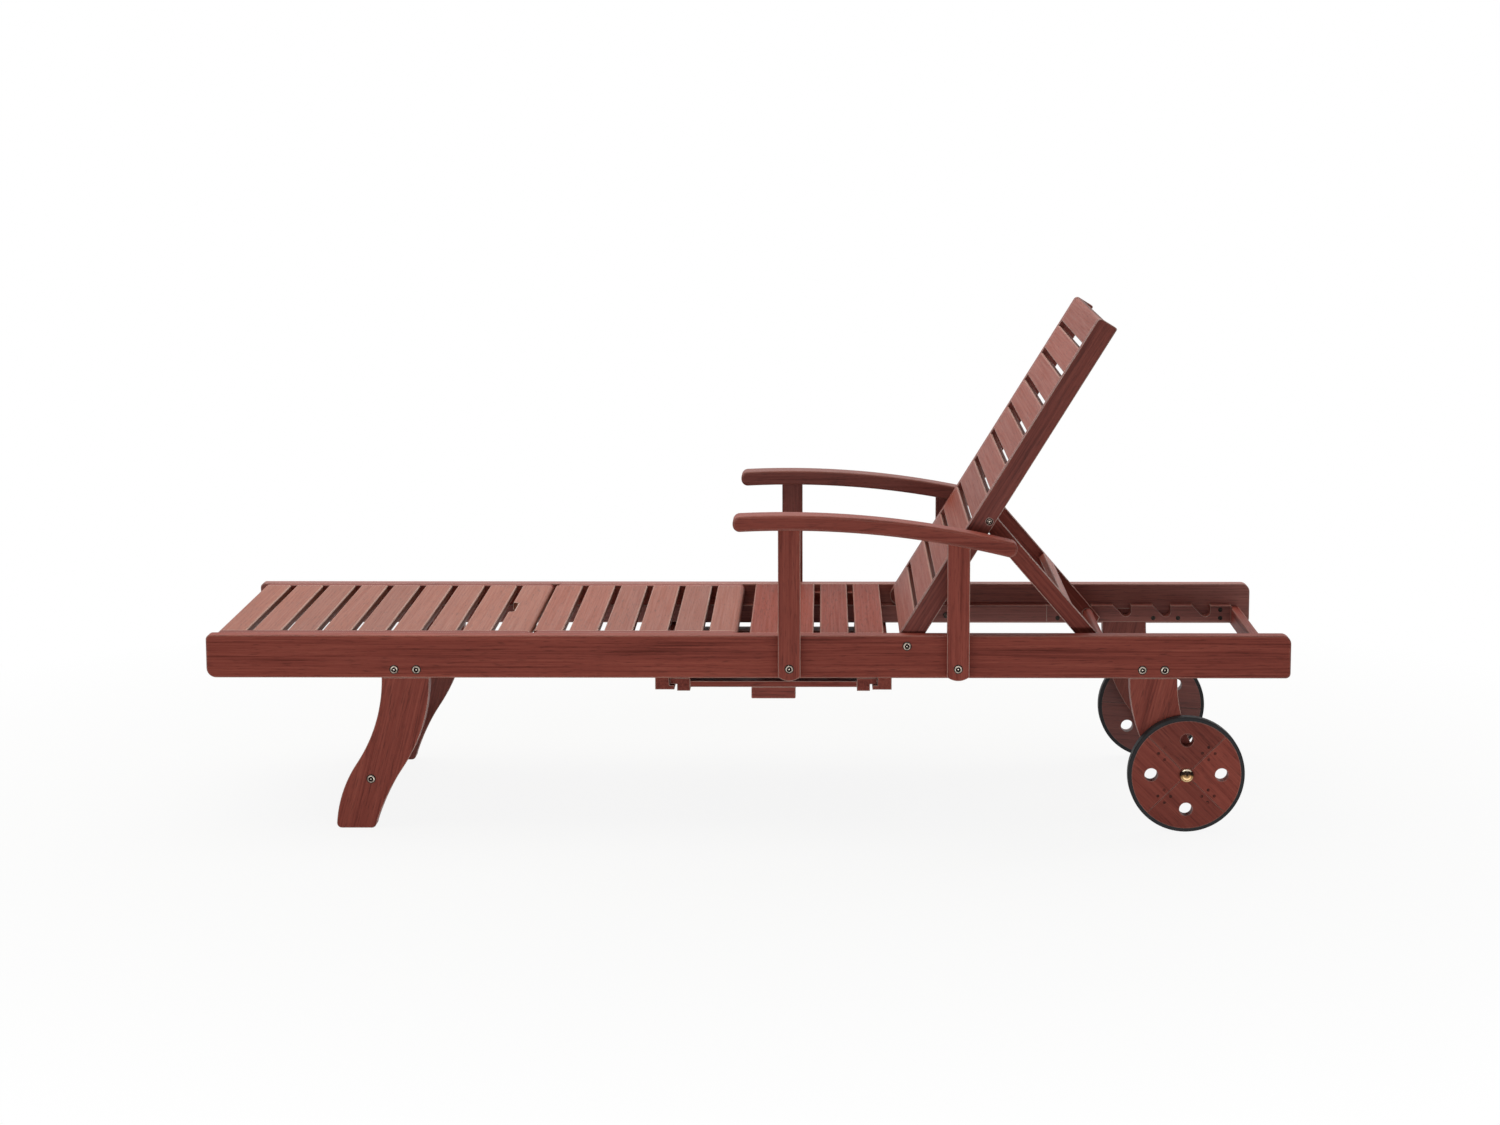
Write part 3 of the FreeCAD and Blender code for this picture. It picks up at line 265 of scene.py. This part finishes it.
# Slats of the two leaves and the seat: each row starts at its own line
slatPitch = 65.102 * mm
# painted shade: the seat row, in the shade of the back, is toned darker and the thigh row a little darker; the tan
# tints of the leaf rows are partly a painted sheen
slatRows = {
    "Leg": {
        "nodes": ("leg_foot_slat", "leg_slats", "finger_slat"),
        "start": -993.65 * mm,
        "look": {"tone": 1.03, "sheen": 0.28, "tint": (1.0, 1.33, 1.04)},
    },
    "Thigh": {
        "nodes": ("thigh_slats", "thigh_end_slats"),
        "start": -405.03 * mm,
        "look": {"tone": 0.98, "sheen": 0.24, "tint": (1.0, 1.13, 0.82)},
    },
    "Seat": {
        "nodes": ("seat_slats",),
        "start": -3.72 * mm,
        "look": {"tone": 0.93, "sheen": 0.05, "tint": (1.0, 1.0, 0.94)},
    },
}
for row, slats in slatRows.items():
    material = oiledHardwood(
        f"oiledHardwood{row}Slats", grain="y", start=(slats["start"], outside, outside),
        board=(slatPitch, whole, whole), calm=3.0, edgeHighlight=0.95, gapward=(1, 0, 0), paintedGapShade=0.55, **slats["look"])
    dress(material, *slats["nodes"])

# Stiles of the leaves, along the lounger; the knee parts the two leaves
leafStile = {"knee": -402.4 * mm, "length": 590 * mm, "apart": 400 * mm, "tone": 0.9}
leafWood = oiledHardwood(
    "oiledHardwoodLeafStiles", grain="x", start=(leafStile["knee"], 0, outside),
    board=(leafStile["length"], leafStile["apart"], whole), tone=leafStile["tone"])
dress(leafWood, *[f"{side}_{leaf}_stile" for side in sides for leaf in ("leg", "thigh")])

# Cross pieces that run from side to side
crossPiece = {"along": 110 * mm, "up": 130 * mm, "tone": 0.9}
crossWood = oiledHardwood(
    "oiledHardwoodCrossRails", grain="y", start=(0, outside, 0),
    board=(crossPiece["along"], whole, crossPiece["up"]), tone=crossPiece["tone"])
dress(crossWood, "head_cross_rail", "foot_cross_rail", "seat_cleats", "leg_stretcher", "prop_bar")

# The prop: its flat cross rail faces up into the light and is toned lighter, as painted light; its arms have their
# grain along their own slope
prop = {
    "slope": -49.1,
    "apart": 300 * mm,
    "railLook": {"tone": 1.2, "edgeHighlight": 0.6, "sheen": 0.3, "tint": (1.0, 1.15, 1.0)},
    "armLook": {"tone": 0.9, "edgeHighlight": 1.0},
}
propRailWood = oiledHardwood("oiledHardwoodPropRail", grain="y", **prop["railLook"])
dress(propRailWood, "prop_cross_rail")
propArmWood = oiledHardwood(
    "oiledHardwoodPropArms", grain="x", tilt=prop["slope"], start=(outside, 0, outside),
    board=(whole, prop["apart"], whole), **prop["armLook"])
dress(propArmWood, "near_prop_arm", "far_prop_arm")

# The back leans at this angle, so its boards are counted along it
back = {
    "angle": 58.35,
    "pivot": (292.732 * mm, 344 * mm),
    "pitch": 63.4 * mm,
    "first": -0.25 * mm,
    "apart": 400 * mm,
    "stileLook": {"tone": 0.74, "edgeHighlight": 0.8, "sheen": 0.22},
    "slatLook": {"tone": 0.9, "calm": 3.0, "edgeHighlight": 0.95, "sheen": 0.13, "tint": (1.0, 1.05, 0.9), "paintedGapShade": 0.35},
}
lean = math.radians(back["angle"])
pivotX, pivotZ = back["pivot"]
backStart = pivotX * math.cos(lean) + pivotZ * math.sin(lean) + back["first"]
backStileWood = oiledHardwood(
    "oiledHardwoodBackStiles", grain="x", tilt=back["angle"], start=(outside, 0, outside),
    board=(whole, back["apart"], whole), **back["stileLook"])
dress(backStileWood, "near_back_stile", "far_back_stile")
backSlatWood = oiledHardwood(
    "oiledHardwoodBackSlats", grain="y", tilt=back["angle"], start=(backStart, outside, outside),
    board=(back["pitch"], whole, whole), gapward=(math.cos(lean), 0, math.sin(lean)), **back["slatLook"])
dress(backSlatWood, "back_slats", "back_top_slat")

# Legs and posts stand, so their grain is upright; arms have it along the lounger
# painted shade: the far legs, posts and armrest are toned darker and tinted duller
farShadeTint = (1.0, 1.18, 1.22)
legs = {
    "tilt": -14,
    "board": (900 * mm, 300 * mm, whole),
    "near": {"tone": 1.0, "sheen": 0.14},
    "far": {"tone": 0.74, "sheen": 0.26, "tint": farShadeTint},
}
posts = {
    "board": (200 * mm, 300 * mm, whole),
    "near": {"tone": 0.98, "sheen": 0.12},
    "far": {"tone": 0.7, "sheen": 0.24, "tint": farShadeTint},
}
arms = {
    "board": (whole, 400 * mm, whole),
    "near": {"tone": 1.02, "sheen": 0.12},
    "far": {"tone": 0.66, "sheen": 0.24, "tint": farShadeTint},
}
for side in sides:
    legWood = oiledHardwood(
        f"oiledHardwood{side.title()}Legs", grain="z", tilt=legs["tilt"], start=(0, 0, outside),
        board=legs["board"], **legs[side])
    dress(legWood, f"{side}_front_leg", f"{side}_rear_leg")
    postWood = oiledHardwood(
        f"oiledHardwood{side.title()}Posts", grain="z", start=(0, 0, outside),
        board=posts["board"], **posts[side])
    dress(postWood, f"{side}_front_post", f"{side}_rear_post")
    armWood = oiledHardwood(
        f"oiledHardwood{side.title()}Armrest", grain="x", start=(outside, 0, outside),
        board=arms["board"], calm=1.5, edgeHighlight=0.75, **arms[side])
    dress(armWood, f"{side}_armrest")

# Tray: slats and pull along the lounger, battens and runners across
tray = {
    "pitch": 65.75 * mm,
    "first": -295.9 * mm,
    "railsApart": 200 * mm,
    "slatTone": 0.8,
    "railTone": 0.82,
    "pullSheen": 0.2,
}
traySlatWood = oiledHardwood(
    "oiledHardwoodTraySlats", grain="x", start=(outside, tray["first"], outside),
    board=(whole, tray["pitch"], whole), tone=tray["slatTone"])
dress(traySlatWood, "tray_slats")
trayPullWood = oiledHardwood("oiledHardwoodTrayPull", grain="x", sheen=tray["pullSheen"])
dress(trayPullWood, "tray_pull")
trayRailWood = oiledHardwood(
    "oiledHardwoodTrayRails", grain="y", start=(0, outside, outside),
    board=(tray["railsApart"], whole, whole), tone=tray["railTone"])
dress(trayRailWood, "tray_battens", "tray_runners")

# Wheels: quarter boards with the grain along one joint; the two wheels stand at different turns
wheel = {
    "axle": (808.5 * mm, 108 * mm),
    "middle": 323 * mm,
    "face": 335 * mm,
    "board": (300 * mm, 400 * mm, 300 * mm),
    "boardChoice": -33,        # picks four boards of clearly different tone
    "spread": (0.72, 1.14),
    "turn": {"near": 45, "far": 4},
    "near": {"tone": 0.95, "sheen": 0.14},
    # painted shade: the far wheel is toned much darker than the near one
    "far": {"tone": 0.5, "sheen": 0.45},
}
axleX, axleZ = wheel["axle"]
for side, way in sides.items():
    turn = math.radians(-wheel["turn"][side])
    wheelStart = (
        axleX * math.cos(turn) + axleZ * math.sin(turn),
        way * wheel["middle"] - wheel["board"][1] * (wheel["boardChoice"] + 0.5),
        -axleX * math.sin(turn) + axleZ * math.cos(turn),
    )
    wheelWood = oiledHardwood(
        f"oiledHardwood{side.title()}Wheel", grain="x", tilt=-wheel["turn"][side], start=wheelStart,
        board=wheel["board"], calm=1.2, edgeHighlight=0.15, spread=wheel["spread"], **wheel[side])
    dress(wheelWood, f"{side}_wheel_boards")
print("wood: rails, slats, back, legs, arms, tray and wheels are dressed")


# Moulded rubber: nearly black, matt, with a fine pebbled skin and a little dust
rubber = {
    "dark": "#0F0F11",
    "dusty": "#232225",
    "dustRange": (0.35, 0.7),
    "dustPatch": 45.45 * mm,
    "pebble": 4 * mm,          # really about 1 mm: drawn coarser, to show in the render
    "roughness": (0.52, 0.70),
    "bump": 0.25,
    "bumpDepth": 0.3 * mm,
    "specular": 0.25,
}
tyreRubber, tree = newMaterial("mouldedRubberTyre")
place = addNode(tree, "ShaderNodeTexCoord").outputs["Object"]
pebbles = addNode(tree, "ShaderNodeTexNoise", {
    "Vector": place,
    "Scale": 1 / rubber["pebble"],
    "Detail": 3.0,
}).outputs["Fac"]
dust = addNode(tree, "ShaderNodeTexNoise", {
    "Vector": place,
    "Scale": 1 / rubber["dustPatch"],
    "Detail": 3.0,
}).outputs["Fac"]
dustFrom, dustTo = rubber["dustRange"]
ramp = addNode(tree, "ShaderNodeValToRGB", {"Fac": dust}, stops=[
    (dustFrom, linear(rubber["dark"])),
    (dustTo, linear(rubber["dusty"])),
])
smooth, rough = rubber["roughness"]
roughness = addNode(tree, "ShaderNodeMapRange", {
    "Value": pebbles,
    "To Min": smooth,
    "To Max": rough,
}).outputs["Result"]
bump = addNode(tree, "ShaderNodeBump", {
    "Height": pebbles,
    "Strength": rubber["bump"],
    "Distance": rubber["bumpDepth"],
}).outputs["Normal"]
shader = addNode(tree, "ShaderNodeBsdfPrincipled", {
    "Base Color": ramp.outputs["Color"],
    "Roughness": roughness,
    "Specular IOR Level": rubber["specular"],
    "Normal": bump,
})
addNode(tree, "ShaderNodeOutputMaterial", {"Surface": shader.outputs["BSDF"]})
dress(tyreRubber, "near_wheel_tyre", "far_wheel_tyre")
print("tyres: rubber is dressed")


def plainMetal(name, dark, bright, patch, roughness):
    # a metal whose colour and polish vary over patches that are patch metres wide
    made, tree = newMaterial(name)
    place = addNode(tree, "ShaderNodeTexCoord").outputs["Object"]
    patches = addNode(tree, "ShaderNodeTexNoise", {
        "Vector": place,
        "Scale": 1 / patch,
        "Detail": 3.0,
    }).outputs["Fac"]
    ramp = addNode(tree, "ShaderNodeValToRGB", {"Fac": patches}, stops=[(0.35, linear(dark)), (0.65, linear(bright))])
    smooth, rough = roughness
    polish = addNode(tree, "ShaderNodeMapRange", {
        "Value": patches,
        "To Min": smooth,
        "To Max": rough,
    }).outputs["Result"]
    shader = addNode(tree, "ShaderNodeBsdfPrincipled", {
        "Base Color": ramp.outputs["Color"],
        "Metallic": 1.0,
        "Roughness": polish,
    })
    addNode(tree, "ShaderNodeOutputMaterial", {"Surface": shader.outputs["BSDF"]})
    return made


# Browned steel: bolts and screws with a dark oiled skin; the glints on the bolt domes are painted, in paler steel
brownedSteel = plainMetal("brownedSteel", "#171312", "#332C28", 5 * mm, (0.30, 0.50))
# Zinc plated steel: axle and hinges, grey with dull patches
zincSteel = plainMetal("zincPlatedSteel", "#8B8682", "#BDB6AF", 8 * mm, (0.30, 0.50))
# Pale steel for a painted glint: the raised ring of the bolt heads and the pin in their sockets
paintedGlintSteel = plainMetal("paintedGlintSteel", "#6E625A", "#C2B5A8", 4 * mm, (0.24, 0.44))
# Near-black steel for painted shade: the inside of bolt sockets and the hub caps' dimple, dark and dull
paintedShadeBlack = plainMetal("paintedShadeBlackSteel", "#0D0B0B", "#1D1918", 3 * mm, (0.45, 0.65))
dress(zincSteel, "wheel_axle", "knee_hinge_thigh_plates", "knee_hinge_leg_plates", "knee_hinge_pins")
dress(brownedSteel, "thigh_pivot_screws", "rack_screws")


def buildMesh(name, build, materials):
    # build fills an empty mesh; edges that bend by more than 35 degrees stay sharp
    shape = bmesh.new()
    build(shape)
    bmesh.ops.recalc_face_normals(shape, faces=shape.faces)
    data = bpy.data.meshes.new(name)
    shape.to_mesh(data)
    shape.free()
    for material in materials:
        data.materials.append(material)
    data.shade_smooth()
    data.set_sharp_from_angle(angle=math.radians(35))
    piece = bpy.data.objects.new(name, data)
    bpy.context.scene.collection.objects.link(piece)
    return piece


def turnedRings(shape, rings, around, place):
    # rings: radius, height along the axis, corners or 0 for round, material index of the band that ends here
    loops = []
    for radius, height, corners, _ in rings:
        loop = []
        for step in range(around):
            angle = 2 * math.pi * step / around
            reach = radius
            if corners:
                half = math.pi / corners
                reach = radius * math.cos(half) / math.cos(angle % (2 * half) - half)
            spot = Vector((reach * math.cos(angle), reach * math.sin(angle), height))
            loop.append(shape.verts.new(place @ spot))
        loops.append(loop)
    for lower, upper, ring in zip(loops, loops[1:], rings[1:]):
        for step in range(around):
            beside = (step + 1) % around
            face = shape.faces.new((lower[step], lower[beside], upper[beside], upper[step]))
            face.material_index = ring[3]
    for loop, ring in ((loops[0], rings[0]), (loops[-1], rings[-1])):
        face = shape.faces.new(loop)
        face.material_index = ring[3]


def outwardPlace(way, x, z, face):
    # x, z and face in mm; the piece's own Z points away from the lounger's middle
    out = Matrix.Rotation(math.radians(-90 * way), 4, "X")
    return Matrix.Translation((x * mm, way * face * mm, z * mm)) @ out


# Button head bolts: a dark rim, a domed ring in pale steel as a painted highlight, and a hexagon socket painted
# near-black as shade, with a pale pin as a painted glint; shank and nut lie in the wood
boltShape = {
    "around": 24,
    "shank": 4.0 * mm,
    "shankTip": 0.8,           # shares of the shank's and the nut's radius
    "nutTip": 0.93,
    "rimTop": 0.95,            # shares of the head's radius
    "ringShare": 0.80,
    "socketShare": 0.56,
    "socketTop": 0.94,         # shares of the socket's radius
    "socketFoot": 0.9,
    "rimSide": 0.6,            # share of the rim's height
    "head": 8.5 * mm,
    "headHeight": 3.5 * mm,
    "rim": 1.1 * mm,
    "ringFoot": 2.5 * mm,
    "domeSteps": 5,
    "socketLip": 0.2 * mm,
    "socketDepth": 1.6 * mm,
    "pin": 1.3 * mm,
    "pinHeight": 0.5 * mm,
    "nut": 6.5 * mm,
    "nutHeight": 6.5 * mm,
    "nutChamfer": 0.6 * mm,
    "tipChamfer": 1 * mm,
}
# the socket's near-black is painted shade; the pale steel of the dome ring and the pin is a painted glint
browned, paintedSocketShade, paintedGlint = 0, 1, 2       # a bolt's materials, in their order
boltMaterials = [brownedSteel, paintedShadeBlack, paintedGlintSteel]


def boltRings(length, head, headHeight, nut):
    # from the far end of the shank, at minus length, to the pin in the socket; 0 is the wood's face
    bolt = boltShape
    shank, hexagon = bolt["shank"], 6
    if nut:
        nutEnd = -length - bolt["nutHeight"]
        rings = [
            (bolt["nut"] * bolt["nutTip"], nutEnd, hexagon, browned),
            (bolt["nut"], nutEnd + bolt["nutChamfer"], hexagon, browned),
            (bolt["nut"], -length, hexagon, browned),
            (shank, -length, 0, browned),
        ]
    else:
        rings = [
            (shank * bolt["shankTip"], -length, 0, browned),
            (shank, -length + bolt["tipChamfer"], 0, browned),
        ]
    rim, foot = bolt["rim"], bolt["ringFoot"]
    ring, socket = bolt["ringShare"] * head, bolt["socketShare"] * head
    rings += [
        (shank, 0, 0, browned),
        (head, 0, 0, browned),
        (head, bolt["rimSide"] * rim, 0, browned),
        (bolt["rimTop"] * head, rim, 0, browned),
        (ring, rim, 0, browned),
        (ring, foot, 0, browned),
    ]
    steps = bolt["domeSteps"]
    for step in range(1, steps + 1):
        rise = math.sin(step / steps * math.pi / 2)
        rings.append((ring + (socket - ring) * step / steps, foot + (headHeight - foot) * rise, 0, paintedGlint))
    socketFloor = headHeight - bolt["socketDepth"]
    rings += [
        (bolt["socketTop"] * socket, headHeight - bolt["socketLip"], hexagon, paintedSocketShade),
        (bolt["socketFoot"] * socket, socketFloor, hexagon, paintedSocketShade),
        (bolt["pin"], socketFloor, 0, paintedSocketShade),
        (bolt["pin"], socketFloor + bolt["pinHeight"], 0, paintedGlint),
    ]
    return rings


def addBolts(name, bolts, body, node, head=boltShape["head"]):
    # bolts: x, z, the face that the head sits on, the shank's inner end, all in mm, and nut or not
    def build(shape):
        for x, z, face, inside, nut in bolts:
            rings = boltRings((face - inside) * mm, head, boltShape["headHeight"], nut)
            for way in sides.values():
                turnedRings(shape, rings, boltShape["around"], outwardPlace(way, x, z, face))
    piece = buildMesh(name, build, boltMaterials)
    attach(piece, body)
    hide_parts(node)


boltPlaces = {
    "legs": [(x, 299.5, 310, 281, False) for x in (-653.3, -612.3, 726.8, 767.8)],
    "posts": [(x, 305, 332, 253, True) for x in (75.93, 386.43)],
    "stretcher": [(-700, 93, 309, 240, False)],
    "backPivots": [(292.73, 344, 310, 256, True)],
    "propPivots": [(444.16, 571.36, 274.5, 229.5, True)],
    "sunkHead": 6 * mm,        # radius of the heads that sit in the back's stiles
}
fixedBolts = boltPlaces["legs"] + boltPlaces["posts"] + boltPlaces["stretcher"]
addBolts("frameBolts", fixedBolts, "frame", "frame_bolts")
addBolts("backPivotBolts", boltPlaces["backPivots"], "frame", "back_pivot_bolts")
addBolts("propPivotBolts", boltPlaces["propPivots"], "back", "prop_pivot_bolts", head=boltPlaces["sunkHead"])
print("bolts: button heads, sockets and nuts are built")

# Hub caps: spun cups on the axle's ends, with a rolled rim, a dished face and a dimpled boss
hubCap = {
    "around": 32,
    "face": 335.5,
    # radius and height in mm, and 1 for the dimple, painted black as shade
    "profile": (
        (6.1, 5.1, 0), (6.1, 0, 0), (13, 0, 0), (13, 3, 0), (12.8, 5.5, 0), (12.2, 7.5, 0), (11.3, 8.7, 0),
        (10.4, 9, 0), (9.7, 8.6, 0), (9.2, 7.6, 0), (8.6, 6.7, 0), (7, 6.2, 0), (4.5, 6.3, 0), (3, 6.8, 0),
        (2, 7.4, 0), (1.4, 7.6, 0), (1, 7.2, 1), (0.7, 7, 1),
    ),
    "shadingWobble": 4 * mm,
    "shadingRange": (-11 * mm, 15 * mm),       # below and above the axle
    "paintedShading": ((0.2, "#C9AC82"), (0.88, "#E9DCC6"), (0.45, "#8C6B45"), (0.55, "#2B201A"), (0.78, "#211815")),
    "roughness": 0.32,
}
# Spun brass with painted light and shade: lit and warm in the lower half, painted shade in the upper half
# of the dish with a wavering edge, and a painted highlight near the top of the rim
spunBrass, tree = newMaterial("spunBrassPaintedShading")
place = addNode(tree, "ShaderNodeTexCoord").outputs["Object"]
level = addNode(tree, "ShaderNodeSeparateXYZ", {0: place}).outputs["Z"]
spots = addNode(tree, "ShaderNodeTexNoise", {
    "Vector": place,
    "Scale": 1 / hubCap["shadingWobble"],
    "Detail": 2.0,
}).outputs["Fac"]
wander = addNode(tree, "ShaderNodeMath", {
    0: spots,
    1: hubCap["shadingWobble"],
    2: level,
}, operation="MULTIPLY_ADD").outputs["Value"]
below, above = hubCap["shadingRange"]
upward = addNode(tree, "ShaderNodeMapRange", {
    "Value": wander,
    "From Min": axleZ + below,
    "From Max": axleZ + above,
}).outputs["Result"]
ramp = addNode(tree, "ShaderNodeValToRGB", {"Fac": upward},
               stops=[(share, linear(colour)) for share, colour in hubCap["paintedShading"]])
shader = addNode(tree, "ShaderNodeBsdfPrincipled", {
    "Base Color": ramp.outputs["Color"],
    "Metallic": 1.0,
    "Roughness": hubCap["roughness"],
})
addNode(tree, "ShaderNodeOutputMaterial", {"Surface": shader.outputs["BSDF"]})


def buildHubCaps(shape):
    rings = [(radius * mm, height * mm, 0, dimple) for radius, height, dimple in hubCap["profile"]]
    for way in sides.values():
        turnedRings(shape, rings, hubCap["around"], outwardPlace(way, axleX / mm, axleZ / mm, hubCap["face"]))


hubCaps = buildMesh("hubCaps", buildHubCaps, [spunBrass, paintedShadeBlack])
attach(hubCaps, "frame")
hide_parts("hub_caps")
print("hub caps: rims, dishes and bosses are built")

# Plugged nail holes on both sides of each wheel joint, flush but for a hair
plugs = {
    "around": 14,
    "radius": 3.0 * mm,
    "proud": 0.25 * mm,
    "crown": ((1, 0.5), (0.85, 1), (0.3, 1.1)),        # shares of radius and of proud
    "depth": 2.0 * mm,
    "along": (49 * mm, 65 * mm),
    "off": 8.5 * mm,
    "apart": 13 * mm,
    "look": {"tone": 0.3, "edgeHighlight": 0.0, "spread": (0.5, 2.6)},
}
# End grain plugs: small rounds of the same wood, darker where the oil soaked in
plugWood = oiledHardwood("oiledHardwoodPlugs", grain="y", board=(plugs["apart"], whole, plugs["apart"]), **plugs["look"])


def addPlugs(side):
    def build(shape):
        face = outwardPlace(sides[side], axleX / mm, axleZ / mm, wheel["face"] / mm)
        radius, proud = plugs["radius"], plugs["proud"]
        rings = [(radius, -plugs["depth"], 0, 0)]
        rings += [(share * radius, rise * proud, 0, 0) for share, rise in plugs["crown"]]
        for joint in range(4):
            angle = math.radians(wheel["turn"][side] + 90 * joint)
            for along in plugs["along"]:
                for off in (-plugs["off"], plugs["off"]):
                    spot = Vector((
                        along * math.cos(angle) - off * math.sin(angle),
                        along * math.sin(angle) + off * math.cos(angle),
                        0,
                    ))
                    turnedRings(shape, rings, plugs["around"], face @ Matrix.Translation(spot))
    piece = buildMesh(f"{side}WheelPlugs", build, [plugWood])
    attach(piece, f"{side}_wheel")


for side in sides:
    addPlugs(side)
print("wheels: plugs are set")

# Camera: a long lens a little above the bed, square to the side of the lounger
cameraView = {
    "place": (0.1382, -6.1577, 1.4176),
    "tilt": 81.082,
    "turn": 0.294,
    "lens": 77.458,
    "sensor": 36,
    "shift": -0.03787,
}
cameraData = bpy.data.cameras.new("studioCamera")
cameraData.lens = cameraView["lens"]
cameraData.sensor_width = cameraView["sensor"]
cameraData.shift_x = cameraView["shift"]
camera = bpy.data.objects.new("studioCamera", cameraData)
camera.location = cameraView["place"]
camera.rotation_euler = (math.radians(cameraView["tilt"]), 0, math.radians(cameraView["turn"]))
bpy.context.scene.collection.objects.link(camera)
bpy.context.scene.camera = camera

# Soft studio light: a wide panel overhead, a little to the back, a low strip in front of the near side
# and a weak panel past the head end
panels = {
    "overheadPanel": {
        "place": (-0.6, 0.6, 3.2),
        "aim": (-0.1, 0.1, 0.3),
        "size": (5.0, 2.6),
        "power": 119,
        "colour": (1.0, 0.985, 0.91),
    },
    "frontStrip": {
        "place": (0.2, -2.75, 0.14),
        "aim": (0.2, 0, 0.34),
        "size": (4.4, 0.2),
        "power": 26,
        "colour": (1.0, 1.0, 1.0),
    },
    "headPanel": {
        "place": (3.4, 1.6, 1.5),
        "aim": (0.5, 0, 0.4),
        "size": (1.6, 1.2),
        "power": 22,
        "colour": (1.0, 1.0, 1.0),
    },
}
for name, panel in panels.items():
    light = bpy.data.lights.new(name, "AREA")
    light.shape = "RECTANGLE"
    light.size, light.size_y = panel["size"]
    light.energy = panel["power"]
    light.color = panel["colour"]
    lamp = bpy.data.objects.new(name, light)
    lamp.location = panel["place"]
    aim = Vector(panel["aim"]) - Vector(panel["place"])
    lamp.rotation_euler = aim.to_track_quat("-Z", "Y").to_euler()
    bpy.context.scene.collection.objects.link(lamp)


def seenDirectly(tree):
    # 1 for what the camera sees, also in a mirror or through glass
    path = addNode(tree, "ShaderNodeLightPath").outputs
    mirrored = addNode(tree, "ShaderNodeMath", {
        0: path["Is Camera Ray"],
        1: path["Is Glossy Ray"],
    }, operation="MAXIMUM").outputs["Value"]
    return addNode(tree, "ShaderNodeMath", {
        0: mirrored,
        1: path["Is Transmission Ray"],
    }, operation="MAXIMUM").outputs["Value"]


# White surroundings for the camera and for reflections, a weaker and cooler grey as light
surroundings = {"light": 0.11, "tint": (0.78, 0.98, 1.0, 1), "white": (1, 1, 1, 1)}
world = bpy.data.worlds.new("studioWorld")
bpy.context.scene.world = world
world.use_nodes = True
tree = world.node_tree
tree.nodes.clear()
ambient = addNode(tree, "ShaderNodeBackground", {"Color": surroundings["tint"], "Strength": surroundings["light"]})
white = addNode(tree, "ShaderNodeBackground", {"Color": surroundings["white"], "Strength": 1.0})
both = addNode(tree, "ShaderNodeMixShader", {
    0: seenDirectly(tree),
    1: ambient.outputs["Background"],
    2: white.outputs["Background"],
})
addNode(tree, "ShaderNodeOutputWorld", {"Surface": both.outputs["Shader"]})

# Painted studio floor: pale and faintly cloudy, it glows white for the camera but keeps a faint shadow
studioFloor = {
    "dark": "#CCCAC6",
    "light": "#D2D0CC",
    "clouds": 0.6,             # per metre
    "cloudRange": (0.3, 0.7),
    "glow": (0.9, 1.0),        # near the lounger and away from it
    "glowRange": (0.7, 2.2),   # metres from the middle
    "reach": 40.0,
    "drop": 0.5 * mm,
}
floorPaint, tree = newMaterial("paleStudioFloor")
place = addNode(tree, "ShaderNodeTexCoord").outputs["Object"]
clouds = addNode(tree, "ShaderNodeTexNoise", {
    "Vector": place,
    "Scale": studioFloor["clouds"],
    "Detail": 2.0,
}).outputs["Fac"]
cloudFrom, cloudTo = studioFloor["cloudRange"]
ramp = addNode(tree, "ShaderNodeValToRGB", {"Fac": clouds}, stops=[
    (cloudFrom, linear(studioFloor["dark"])),
    (cloudTo, linear(studioFloor["light"])),
])
diffuse = addNode(tree, "ShaderNodeBsdfDiffuse", {"Color": ramp.outputs["Color"]})
glow = addNode(tree, "ShaderNodeEmission", {"Color": surroundings["white"], "Strength": 1.0})
away = addNode(tree, "ShaderNodeVectorMath", {0: place}, operation="LENGTH").outputs["Value"]
glowFrom, glowTo = studioFloor["glowRange"]
nearGlow, farGlow = studioFloor["glow"]
fading = addNode(tree, "ShaderNodeMapRange", {
    "Value": away,
    "From Min": glowFrom,
    "From Max": glowTo,
    "To Min": nearGlow,
    "To Max": farGlow,
}).outputs["Result"]
glowing = addNode(tree, "ShaderNodeMath", {
    0: seenDirectly(tree),
    1: fading,
}, operation="MULTIPLY").outputs["Value"]
paint = addNode(tree, "ShaderNodeMixShader", {
    0: glowing,
    1: diffuse.outputs["BSDF"],
    2: glow.outputs["Emission"],
})
addNode(tree, "ShaderNodeOutputMaterial", {"Surface": paint.outputs["Shader"]})


def floorSquare(shape):
    reach, drop = studioFloor["reach"], studioFloor["drop"]
    corners = ((-reach, -reach), (reach, -reach), (reach, reach), (-reach, reach))
    shape.faces.new([shape.verts.new((x, y, -drop)) for x, y in corners])


floor = buildMesh("studioFloor", floorSquare, [floorPaint])

bpy.context.scene.view_settings.view_transform = "Standard"
print("studio: camera, panels, world and floor are ready")
